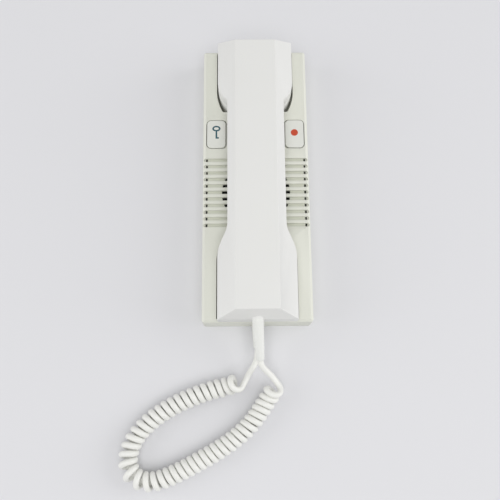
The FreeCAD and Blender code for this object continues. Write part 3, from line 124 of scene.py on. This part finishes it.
world = bpy.data.worlds.new("white_room")
world.use_nodes = True
world.node_tree.nodes["Background"].inputs["Color"].default_value = linear("#FFFFFF")
world.node_tree.nodes["Background"].inputs["Strength"].default_value = room_strength
room_tree = world.node_tree
room_seen = add_node(room_tree, "ShaderNodeBackground", inputs={"Color": linear(room_seen_grey), "Strength": 1})
ray = add_node(room_tree, "ShaderNodeLightPath")
room_mix = add_node(room_tree, "ShaderNodeMixShader", links={
    0: ray.outputs["Is Camera Ray"], 1: room_tree.nodes["Background"].outputs["Background"],
    2: room_seen.outputs["Background"]})
room_tree.links.new(room_mix.outputs["Shader"], room_tree.nodes["World Output"].inputs["Surface"])
scene.world = world

for direction, watts in soft_boxes:
    soft_box = bpy.data.lights.new("soft_box", "AREA")
    soft_box.size = soft_box_size
    soft_box.energy = watts
    place = Vector(direction).normalized() * soft_box_distance
    lamp = bpy.data.objects.new("soft_box", soft_box)
    lamp.location = place
    lamp.rotation_euler = (-place).to_track_quat("-Z", "Y").to_euler()
    lamp.visible_camera = False
    scene.collection.objects.link(lamp)

scene.view_settings.view_transform = "Standard"


# Curly cord. One moulded jacket over the wires: a short straight lead, the curls wound on a rod and set by
# heat, and a second lead. The curls lie on the desk in a loop and tip up at both ends.
cord_diameter = 0.0043
curl_outer_radius = 0.00695
curl_mean_radius = curl_outer_radius - cord_diameter / 2
curl_pitch_at_base_end = 0.00475
curl_pitch_at_handset_end = 0.0044
curl_opening_share = 0.15
curl_opening_length = 0.003
curl_first_share = 1 / 12
curl_steps = 16
curl_route = (
    (-0.0144, -0.1498, 0.0124), (-0.0167, -0.1505, 0.0098), (-0.0226, -0.1523, 0.0070), (-0.0340, -0.1548, 0.0070),
    (-0.0472, -0.1592, 0.0070), (-0.0616, -0.1657, 0.0070), (-0.0754, -0.1744, 0.0070), (-0.0860, -0.1850, 0.0070),
    (-0.0914, -0.1971, 0.0070), (-0.0908, -0.2082, 0.0070), (-0.0838, -0.2154, 0.0070), (-0.0728, -0.2167, 0.0070),
    (-0.0594, -0.2119, 0.0070), (-0.0451, -0.2049, 0.0070), (-0.0305, -0.1972, 0.0070), (-0.0176, -0.1890, 0.0070),
    (-0.0069, -0.1801, 0.0070), (0.0006, -0.1706, 0.0070), (0.0069, -0.1612, 0.0070), (0.0106, -0.1555, 0.0098),
    (0.0120, -0.1535, 0.0124),
)
base_lead_route = (
    (0.0, -0.1250, 0.0047), (0.0, -0.1286, 0.0047), (-0.0008, -0.1330, 0.0049), (-0.0024, -0.1371, 0.0054),
    (-0.0050, -0.1408, 0.0064), (-0.0072, -0.1446, 0.0075),
)
handset_lead_route = (
    (0.0106, -0.1463, 0.0109), (0.0084, -0.1441, 0.0124), (0.0057, -0.1418, 0.0143), (0.0034, -0.1396, 0.0163),
    (0.0020, -0.1374, 0.0181), (0.0016, -0.1346, 0.0195),
)
arm_first_turn = 33
cord_sides = 14
route_steps = 40
cord_steps = 2


def line_of(points, steps):
    """Points of the smooth spline that has these points as its control points."""
    curve = bpy.data.curves.new("route", "CURVE")
    curve.dimensions = "3D"
    spline = curve.splines.new("NURBS")
    spline.points.add(len(points) - 1)
    for point, place in zip(spline.points, points):
        point.co = (*place, 1)
    spline.order_u = 3
    spline.use_endpoint_u = True
    spline.resolution_u = steps
    route = bpy.data.objects.new("route", curve)
    mesh = bpy.data.meshes.new_from_object(route)
    line = [vertex.co.copy() for vertex in mesh.vertices]
    bpy.data.objects.remove(route)
    bpy.data.curves.remove(curve)
    bpy.data.meshes.remove(mesh)
    return line


def bend_at(places, index, reach):
    """Curvature of a line, taken over a reach of its places each way."""
    run_in = places[index] - places[max(index - reach, 0)]
    run_out = places[min(index + reach, len(places) - 1)] - places[index]
    if run_in.length * run_out.length == 0:
        return 0
    return run_in.angle(run_out) * 2 / (run_in.length + run_out.length)


def turns_along(places):
    """Turns so far at each place: the curls keep their pitch inside a bend, and the last one opens."""
    strides = [(after - before).length for before, after in zip(places, places[1:])]
    length = sum(strides)
    run = 0
    turns = [0]
    for index, stride in enumerate(strides):
        bend = bend_at(places, index, round(curl_mean_radius / stride))
        share = run / length
        pitch = curl_pitch_at_base_end * (1 - share) + curl_pitch_at_handset_end * share
        pitch *= 1 + curl_opening_share * max(0, 1 - (length - run) / curl_opening_length)
        turns.append(turns[-1] + stride * (1 - bend * curl_mean_radius) / pitch)
        run += stride
    whole = round(turns[-1] + curl_first_share)
    return [curl_first_share + turn * (whole - curl_first_share) / turns[-1] for turn in turns]


def curl_points(places):
    """Control points of the curls, evenly spaced in turns, wound right-handed round a line.

    The points lie a little outside the mean radius, because the spline runs inside them."""
    turns = turns_along(places)
    count = round((turns[-1] - turns[0]) * curl_steps)
    radius = curl_mean_radius * 4 / (3 + math.cos(2 * math.pi / curl_steps))
    points = []
    row = 0
    for index in range(count + 1):
        wanted = turns[0] + (turns[-1] - turns[0]) * index / count
        while row < len(places) - 2 and turns[row + 1] < wanted:
            row += 1
        share = (wanted - turns[row]) / (turns[row + 1] - turns[row])
        middle = places[row].lerp(places[row + 1], share)
        ahead = (places[min(row + 2, len(places) - 1)] - places[max(row - 1, 0)]).normalized()
        left = Vector((0, 0, 1)).cross(ahead).normalized()
        over = ahead.cross(left)
        phase = 2 * math.pi * wanted
        points.append(middle + left * (radius * math.sin(phase)) - over * (radius * math.cos(phase)))
    return points


def tube_mesh(name, line, diameter, sides):
    """Closed round tube round a line, with its rings turned as little as possible from one to the next."""
    mesh = bmesh.new()
    ahead = (line[1] - line[0]).normalized()
    across = ahead.orthogonal().normalized()
    rings = []
    for index, place in enumerate(line):
        turned_ahead = (line[min(index + 1, len(line) - 1)] - line[max(index - 1, 0)]).normalized()
        across = (ahead.rotation_difference(turned_ahead) @ across).normalized()
        ahead = turned_ahead
        beside = ahead.cross(across)
        angles = [2 * math.pi * side / sides for side in range(sides)]
        rings.append([mesh.verts.new(place + (across * math.cos(a) + beside * math.sin(a)) * diameter / 2)
                      for a in angles])
    for before, after in zip(rings, rings[1:]):
        for side in range(sides):
            following = (side + 1) % sides
            face = mesh.faces.new((before[side], before[following], after[following], after[side]))
            face.smooth = True
    mesh.faces.new(list(reversed(rings[0])))
    mesh.faces.new(rings[-1])
    data = bpy.data.meshes.new(name)
    mesh.to_mesh(data)
    mesh.free()
    return data


curl_line = line_of(curl_route, route_steps)
curls = curl_points(curl_line)
cord_points = [Vector(point) for point in base_lead_route] + curls + [Vector(point) for point in handset_lead_route]
cord_line = line_of(cord_points, cord_steps)
arm_start = round(len(cord_line) * (len(base_lead_route) + arm_first_turn * curl_steps) / len(cord_points))
loop_line = cord_line[:arm_start + 1]
arm_line = cord_line[arm_start:]


vinyl_cloud_size = 0.012
vinyl_grain_share = 0.12
vinyl_grain_depth = 0.0001
vinyl_gloss_spread = 0.06
vinyl_ior = 1.5


def moulded_vinyl(name, colour, shade, speck_size, roughness):
    """Soft vinyl or rubber out of a mould: a satin skin with faint clouding and a very fine grain."""
    material = bpy.data.materials.new(name)
    material.use_nodes = True
    tree = material.node_tree
    shader = tree.nodes["Principled BSDF"]
    place = add_node(tree, "ShaderNodeTexCoord")
    clouds = add_node(tree, "ShaderNodeTexNoise", inputs={"Scale": 1 / vinyl_cloud_size, "Detail": 3},
                      links={"Vector": place.outputs["Object"]})
    tint = add_node(tree, "ShaderNodeMix", settings={"data_type": "RGBA"}, inputs={6: linear(colour), 7: linear(shade)},
                    links={0: clouds.outputs["Fac"]})
    grain = add_node(tree, "ShaderNodeTexNoise", inputs={"Scale": 1 / speck_size, "Detail": 2},
                     links={"Vector": place.outputs["Object"]})
    skin = add_node(tree, "ShaderNodeBump", inputs={"Strength": vinyl_grain_share, "Distance": vinyl_grain_depth},
                    links={"Height": grain.outputs["Fac"]})
    gloss = add_node(tree, "ShaderNodeMapRange", inputs={
        "To Min": roughness - vinyl_gloss_spread, "To Max": roughness + vinyl_gloss_spread},
        links={"Value": grain.outputs["Fac"]})
    tree.links.new(tint.outputs[2], shader.inputs["Base Color"])
    tree.links.new(gloss.outputs["Result"], shader.inputs["Roughness"])
    tree.links.new(skin.outputs["Normal"], shader.inputs["Normal"])
    shader.inputs["IOR"].default_value = vinyl_ior
    return material


# Extruded vinyl jacket: white with a warm cast, its satin skin draws a soft light along the top of each curl.
cord_vinyl = moulded_vinyl("cord_vinyl_jacket", "#F0F0EC", "#EAEAE5", 0.0004, 0.34)

cord_loop = new_object("curly_cord_loop", tube_mesh("curly_cord_loop", loop_line, cord_diameter, cord_sides))
cord_loop.data.materials.append(cord_vinyl)
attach(cord_loop, "base")
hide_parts("base_lead", "cord_coil")

cord_arm = new_object("curly_cord_arm", tube_mesh("curly_cord_arm", arm_line, cord_diameter, cord_sides))
cord_arm.data.materials.append(cord_vinyl)
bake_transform(cord_arm)
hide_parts("handset_lead")


# Boots. Soft vinyl sleeves moulded round the cord where it leaves the base and the handset, thicker at the
# root, with a rounded lip at the tip.
boot_root_radius = 0.0042
boot_tip_radius = 0.0029
boot_lip = 0.0006
boot_root_sink = 0.0030
boot_sides = 40
boot_taper_rings = 8
boot_lip_round_share = 0.3
base_boot_root = Vector((0, -0.108, 0.0047))
base_boot_tip = Vector(base_lead_route[0])
handset_boot_root = Vector((0, -0.108, 0.033))
handset_boot_tip = Vector(handset_lead_route[-1])


def boot(name, root, tip, sink, body, node):
    """A sleeve turned about its axis: sunk root, straight taper and rounded tip."""
    axis = (tip - root).normalized()
    across = axis.orthogonal().normalized()
    beside = axis.cross(across)
    length = (tip - root).length
    profile = [(0, -sink), (boot_root_radius - boot_lip, -sink), (boot_root_radius, boot_lip - sink),
               (boot_root_radius, 0)]
    for step in range(1, boot_taper_rings + 1):
        share = step / boot_taper_rings
        profile.append((boot_root_radius + (boot_tip_radius - boot_root_radius) * share, (length - boot_lip) * share))
    rounding = boot_lip * boot_lip_round_share
    profile += [(boot_tip_radius - rounding, length - rounding), (boot_tip_radius - boot_lip, length), (0, length)]
    mesh = bmesh.new()
    rings = []
    for radius, run in profile:
        middle = root + axis * run
        if radius == 0:
            rings.append([mesh.verts.new(middle)])
            continue
        angles = [2 * math.pi * side / boot_sides for side in range(boot_sides)]
        rings.append([mesh.verts.new(middle + (across * math.cos(a) + beside * math.sin(a)) * radius) for a in angles])
    for before, after in zip(rings, rings[1:]):
        for side in range(boot_sides):
            following = (side + 1) % boot_sides
            corners = [before[side % len(before)], before[following % len(before)],
                       after[following % len(after)], after[side % len(after)]]
            face = mesh.faces.new(list(dict.fromkeys(corners)))
            face.smooth = True
    data = bpy.data.meshes.new(name)
    bmesh.ops.recalc_face_normals(mesh, faces=mesh.faces)
    mesh.to_mesh(data)
    mesh.free()
    made = new_object(name, data)
    made.data.materials.append(boot_vinyl)
    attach(made, body)
    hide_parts(node)


# Injected soft vinyl, whiter and glossier than the cord.
boot_vinyl = moulded_vinyl("boot_soft_vinyl", "#ECEDEA", "#E5E6E1", 0.0004, 0.28)
boot("base_boot", base_boot_root, base_boot_tip, boot_root_sink, "base", "base_cord_boot")
boot("handset_boot", handset_boot_root, handset_boot_tip, boot_root_sink, "handset", "handset_cord_boot")


# Base and handset. Shells of ABS moulded in fine satin moulds, off-white and a little yellowed with age; the
# handset has stayed whiter than the base. The base and handset shells get copies with rounded edges.
abs_cloud_size = 0.045
abs_grain_size = 0.0005
abs_grain_share = 0.10
abs_grain_depth = 0.00008
abs_gloss_less = 0.05
abs_gloss_more = 0.07
abs_ior = 1.54
cover_edge_radius = 0.0006
outer_shell_edge_radius = 0.0009
inner_shell_edge_radius = 0.0005
merge_distance = 1e-6
flat_angle = math.radians(0.3)
edge_angle = math.radians(30)
edge_segments = 3


def moulded_abs(name, colour, aged, roughness=0.46):
    """ABS out of a satin mould: soft gloss, faint clouding of the tint and a fine spark-eroded grain."""
    material = bpy.data.materials.new(name)
    material.use_nodes = True
    tree = material.node_tree
    shader = tree.nodes["Principled BSDF"]
    place = add_node(tree, "ShaderNodeTexCoord")
    clouds = add_node(tree, "ShaderNodeTexNoise", inputs={"Scale": 1 / abs_cloud_size, "Detail": 4, "Roughness": 0.6},
                      links={"Vector": place.outputs["Object"]})
    tint = add_node(tree, "ShaderNodeMix", settings={"data_type": "RGBA"}, inputs={6: linear(colour), 7: linear(aged)},
                    links={0: clouds.outputs["Fac"]})
    grain = add_node(tree, "ShaderNodeTexNoise", inputs={"Scale": 1 / abs_grain_size, "Detail": 3, "Roughness": 0.7},
                     links={"Vector": place.outputs["Object"]})
    skin = add_node(tree, "ShaderNodeBump", inputs={"Strength": abs_grain_share, "Distance": abs_grain_depth},
                    links={"Height": grain.outputs["Fac"]})
    gloss = add_node(tree, "ShaderNodeMapRange", inputs={
        "To Min": roughness - abs_gloss_less, "To Max": roughness + abs_gloss_more},
        links={"Value": clouds.outputs["Fac"]})
    tree.links.new(tint.outputs[2], shader.inputs["Base Color"])
    tree.links.new(gloss.outputs["Result"], shader.inputs["Roughness"])
    tree.links.new(skin.outputs["Normal"], shader.inputs["Normal"])
    shader.inputs["IOR"].default_value = abs_ior
    return material


def finish_with(material, *names):
    """Gives CAD pieces their finished material."""
    for name in names:
        nodes[name].data.materials.clear()
        nodes[name].data.materials.append(material)


# The satin mould gives broad, weak highlights; the buttons come out of a smoother one. The inner pieces are
# plain and duller, the marks are pressed-in inserts of coloured ABS.
base_abs = moulded_abs("base_satin_abs", "#E3E4DA", "#DFE0D5")
handset_abs = moulded_abs("handset_satin_abs", "#E6E6E4", "#E3E3E0", 0.38)
button_abs = moulded_abs("button_smooth_abs", "#E6E7E1", "#E2E3DC", 0.38)
inner_abs = moulded_abs("inner_plain_abs", "#CFCFC5", "#C8C8BD", 0.5)
baffle_abs = moulded_abs("baffle_plain_abs", "#DADCCF", "#D4D6C8", 0.5)
black_abs = moulded_abs("black_plain_abs", "#1C1C1E", "#242426", 0.4)
red_abs = moulded_abs("dot_red_abs", "#CC4C2C", "#C44727", 0.35)
teal_abs = moulded_abs("key_teal_abs", "#2F5F6B", "#2A5661", 0.35)
finish_with(inner_abs, "wall_plate", "hook_lever")
finish_with(handset_abs, "ear_cap", "mouth_cap")
finish_with(button_abs, "call_button", "door_button")
finish_with(red_abs, "call_button_dot")
finish_with(teal_abs, "door_button_key")
finish_with(baffle_abs, "grille_baffle")
finish_with(black_abs, "terminal_block", "board_relay", "cord_connector", "call_switch", "door_switch",
            "hook_switch", "cord_clamp")


def softened(name, node, radius, material, body):
    """A copy of a CAD shell with its triangles joined into whole faces and its moulded edges rounded."""
    mesh = bmesh.new()
    mesh.from_mesh(nodes[node].data)
    bmesh.ops.remove_doubles(mesh, verts=mesh.verts, dist=merge_distance)
    bmesh.ops.dissolve_limit(mesh, angle_limit=flat_angle, verts=mesh.verts, edges=mesh.edges)
    for face in mesh.faces:
        face.smooth = True
    sharp = bpy.data.meshes.new(name)
    mesh.to_mesh(sharp)
    mesh.free()
    made = new_object(name, sharp)
    rounding = made.modifiers.new("rounding", "BEVEL")
    rounding.width = radius
    rounding.segments = edge_segments
    rounding.limit_method = "ANGLE"
    rounding.angle_limit = edge_angle
    rounding.harden_normals = True
    finished = bpy.data.meshes.new_from_object(made.evaluated_get(bpy.context.evaluated_depsgraph_get()))
    made.modifiers.clear()
    made.data = finished
    finished.materials.clear()
    finished.materials.append(material)
    bpy.data.meshes.remove(sharp)
    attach(made, body)
    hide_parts(node)


softened("base_cover_shell", "front_cover", cover_edge_radius, base_abs, "base")
softened("handset_back_shell", "handset_outer_shell", outer_shell_edge_radius, handset_abs, "handset")
softened("handset_face_shell", "handset_inner_shell", inner_shell_edge_radius, handset_abs, "handset")


# Metal parts. Zinc-plated steel sheet and screws with a fine spangle, bright drawn spring wire, turned brass,
# drawn aluminium cans and dull sintered iron.
metal_gloss_spread = 0.08


def worked_metal(name, colour, shade, roughness, grain_size):
    """Metal with the fine uneven sheen of its making."""
    material = bpy.data.materials.new(name)
    material.use_nodes = True
    tree = material.node_tree
    shader = tree.nodes["Principled BSDF"]
    place = add_node(tree, "ShaderNodeTexCoord")
    grain = add_node(tree, "ShaderNodeTexNoise", inputs={"Scale": 1 / grain_size, "Detail": 3},
                     links={"Vector": place.outputs["Object"]})
    tint = add_node(tree, "ShaderNodeMix", settings={"data_type": "RGBA"}, inputs={6: linear(colour), 7: linear(shade)},
                    links={0: grain.outputs["Fac"]})
    gloss = add_node(tree, "ShaderNodeMapRange", inputs={
        "To Min": roughness - metal_gloss_spread, "To Max": roughness + metal_gloss_spread},
        links={"Value": grain.outputs["Fac"]})
    tree.links.new(tint.outputs[2], shader.inputs["Base Color"])
    tree.links.new(gloss.outputs["Result"], shader.inputs["Roughness"])
    shader.inputs["Metallic"].default_value = 1.0
    return material


zinc_plate = worked_metal("zinc_plated_steel", "#B9BBBE", "#A8ABB0", 0.35, 0.0008)
spring_wire = worked_metal("drawn_spring_steel", "#9A9CA0", "#85878C", 0.28, 0.0003)
turned_brass = worked_metal("turned_brass", "#B9955A", "#A5824A", 0.3, 0.0004)
drawn_can = worked_metal("drawn_aluminium_can", "#B7B9BC", "#A9ABAE", 0.32, 0.0006)
cast_iron = worked_metal("sintered_iron", "#4A4A4C", "#3C3C3E", 0.55, 0.0007)
finish_with(zinc_plate, "speaker_basket", "speaker_clips", "speaker_screws", "board_screws", "clamp_screws")
finish_with(spring_wire, "hook_pin", "hook_spring")
finish_with(turned_brass, "terminal_screws")
finish_with(drawn_can, "board_capacitors", "receiver_capsule", "microphone_capsule")
finish_with(cast_iron, "speaker_magnet", "ballast_weight")


# Button springs. Coils of spring wire standing on the board.
button_spring_wire = 0.0007
button_spring_radius = 0.0051
button_spring_turns = 3
button_spring_foot = 0.0136
button_spring_height = 0.0045
button_spring_steps = 16
button_spring_sides = 10
button_spring_y = 0.0367
button_spring_x = 0.0299
spring_slack_share = 0.98


def button_spring(name, node, x, y):
    """A wound spring under a button, rising from its foot."""
    spring_points = []
    for index in range(button_spring_turns * button_spring_steps + 1):
        share = index / (button_spring_turns * button_spring_steps)
        angle = 2 * math.pi * button_spring_turns * share
        height = button_spring_wire / 2 + (button_spring_height - button_spring_wire) * share
        spring_points.append((x + button_spring_radius * math.cos(angle), y + button_spring_radius * math.sin(angle),
                              button_spring_foot + height))
    made = new_object(name, tube_mesh(name, line_of(spring_points, 2), button_spring_wire * spring_slack_share,
                                     button_spring_sides))
    made.data.materials.append(spring_wire)
    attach(made, "base")
    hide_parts(node)
    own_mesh(made)


button_spring("call_coil_spring", "call_button_spring", button_spring_x, button_spring_y)
button_spring("door_coil_spring", "door_button_spring", -button_spring_x, button_spring_y)


# Slotted screws. Cold-headed steel screws, countersunk in the cover and pan-headed in the handset, each left at
# a turn of its own by the screwdriver. One node tree makes both kinds.
cover_screw_sizes = {"Head Radius": 0.0028, "Neck Radius": 0.00145, "Head Height": 0.00135, "Shank Radius": 0.00145,
                     "Shank Length": 0.0064, "Slot Width": 0.0006, "Slot Depth": 0.0006}
cover_screw_places = [(0, 0.097, 0.0088), (0.02, -0.096, 0.0088), (-0.02, -0.096, 0.0088)]
handset_screw_sizes = {"Head Radius": 0.0021, "Neck Radius": 0.0021, "Head Height": 0.0015, "Shank Radius": 0.0011,
                       "Shank Length": 0.012, "Slot Width": 0.0006, "Slot Depth": 0.0006}
handset_screw_places = [(0, 0.046, 0.0263), (0, -0.034, 0.0263)]
head_sides = 40
shank_sides = 24
slot_overrun = 2.4
screw_edge_angle = math.radians(35)


def screw_tree():
    """A slotted screw at every point of a mesh, with its head face at the point."""
    tree = bpy.data.node_groups.new("slotted_screws", "GeometryNodeTree")
    tree.interface.new_socket("Geometry", in_out="INPUT", socket_type="NodeSocketGeometry")
    tree.interface.new_socket("Geometry", in_out="OUTPUT", socket_type="NodeSocketGeometry")
    for name in ("Head Radius", "Neck Radius", "Head Height", "Shank Radius", "Shank Length", "Slot Width",
                 "Slot Depth", "Tilt"):
        tree.interface.new_socket(name, in_out="INPUT", socket_type="NodeSocketFloat")
    tree.interface.new_socket("Seed", in_out="INPUT", socket_type="NodeSocketInt")
    tree.interface.new_socket("Material", in_out="INPUT", socket_type="NodeSocketMaterial")
    given = add_node(tree, "NodeGroupInput").outputs
    head = add_node(tree, "GeometryNodeMeshCone", inputs={"Vertices": head_sides}, links={
        "Radius Top": given["Head Radius"], "Radius Bottom": given["Neck Radius"], "Depth": given["Head Height"]})
    down = add_node(tree, "ShaderNodeMath", settings={"operation": "MULTIPLY"}, inputs={1: -1},
                    links={0: given["Head Height"]})
    drop = add_node(tree, "ShaderNodeCombineXYZ", links={"Z": down.outputs["Value"]})
    set_head = add_node(tree, "GeometryNodeTransform", links={
        "Geometry": head.outputs["Mesh"], "Translation": drop.outputs["Vector"]})
    slot_length = add_node(tree, "ShaderNodeMath", settings={"operation": "MULTIPLY"}, inputs={1: slot_overrun},
                           links={0: given["Head Radius"]})
    slot_height = add_node(tree, "ShaderNodeMath", settings={"operation": "MULTIPLY"}, inputs={1: 2},
                           links={0: given["Slot Depth"]})
    slot_size = add_node(tree, "ShaderNodeCombineXYZ", links={
        "X": slot_length.outputs["Value"], "Y": given["Slot Width"], "Z": slot_height.outputs["Value"]})
    slot = add_node(tree, "GeometryNodeMeshCube", links={"Size": slot_size.outputs["Vector"]})
    slotted = add_node(tree, "GeometryNodeMeshBoolean", settings={"operation": "DIFFERENCE"}, links={
        0: set_head.outputs["Geometry"], 1: slot.outputs["Mesh"]})
    shank = add_node(tree, "GeometryNodeMeshCone", inputs={"Vertices": shank_sides}, links={
        "Radius Top": given["Shank Radius"], "Radius Bottom": given["Shank Radius"], "Depth": given["Shank Length"]})
    foot = add_node(tree, "ShaderNodeMath", settings={"operation": "SUBTRACT"}, links={
        0: down.outputs["Value"], 1: given["Shank Length"]})
    shank_drop = add_node(tree, "ShaderNodeCombineXYZ", links={"Z": foot.outputs["Value"]})
    set_shank = add_node(tree, "GeometryNodeTransform", links={
        "Geometry": shank.outputs["Mesh"], "Translation": shank_drop.outputs["Vector"]})
    screw = add_node(tree, "GeometryNodeJoinGeometry", links={0: slotted.outputs["Mesh"]})
    tree.links.new(set_shank.outputs["Geometry"], screw.inputs[0])
    turn = add_node(tree, "FunctionNodeRandomValue", inputs={2: 0, 3: math.pi}, links={"Seed": given["Seed"]})
    stance = add_node(tree, "ShaderNodeCombineXYZ", links={"X": given["Tilt"], "Z": turn.outputs[1]})
    placed = add_node(tree, "GeometryNodeInstanceOnPoints", links={
        "Points": given["Geometry"], "Instance": screw.outputs["Geometry"], "Rotation": stance.outputs["Vector"]})
    real = add_node(tree, "GeometryNodeRealizeInstances", links={"Geometry": placed.outputs["Instances"]})
    plated = add_node(tree, "GeometryNodeSetMaterial", links={
        "Geometry": real.outputs["Geometry"], "Material": given["Material"]})
    add_node(tree, "NodeGroupOutput", links={"Geometry": plated.outputs["Geometry"]})
    return tree


def screws(name, node, body, places, tilt, seed, sizes):
    """Screws at these places as one mesh, tilted to point down (0) or up (half a turn)."""
    points = bpy.data.meshes.new(name)
    points.from_pydata(places, [], [])
    made = new_object(name, points)
    maker = made.modifiers.new("screws", "NODES")
    maker.node_group = slotted_screws
    settings = {**sizes, "Tilt": tilt, "Seed": seed, "Material": zinc_plate}
    for socket in slotted_screws.interface.items_tree:
        if socket.in_out == "INPUT" and socket.name in settings:
            maker[socket.identifier] = settings[socket.name]
    finished = bpy.data.meshes.new_from_object(made.evaluated_get(bpy.context.evaluated_depsgraph_get()))
    made.modifiers.clear()
    made.data = finished
    bpy.data.meshes.remove(points)
    finished.shade_smooth()
    finished.set_sharp_from_angle(angle=screw_edge_angle)
    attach(made, body)
    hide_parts(node)


slotted_screws = screw_tree()
screws("cover_slotted_screws", "cover_screws", "base", cover_screw_places, 0, 3, cover_screw_sizes)
screws("handset_slotted_screws", "handset_screws", "handset", handset_screw_places, math.pi, 8,
       handset_screw_sizes)


# Inside the base and the handset: brown paper laminate board, lacquered resistors, matt black paper cone, dull
# black rubber and the round cable and wire.
laminate = moulded_vinyl("paper_laminate_board", "#8A6A41", "#7C5E38", 0.0006, 0.5)
lacquer = moulded_vinyl("resistor_lacquer", "#B9A27A", "#AD9569", 0.0005, 0.35)
pulp = moulded_vinyl("pressed_paper_pulp", "#1E1E1E", "#151515", 0.0007, 0.85)
black_rubber = moulded_vinyl("moulded_black_rubber", "#232323", "#1B1B1B", 0.0005, 0.6)
wire_vinyl = moulded_vinyl("wire_grey_vinyl", "#C3C3BF", "#B7B7B2", 0.0004, 0.45)
finish_with(laminate, "circuit_board")
finish_with(lacquer, "board_resistors")
finish_with(pulp, "speaker_cone")
finish_with(black_rubber, "receiver_gasket", "microphone_cup")
finish_with(wire_vinyl, "handset_wire")
finish_with(cord_vinyl, "base_cord_tail")
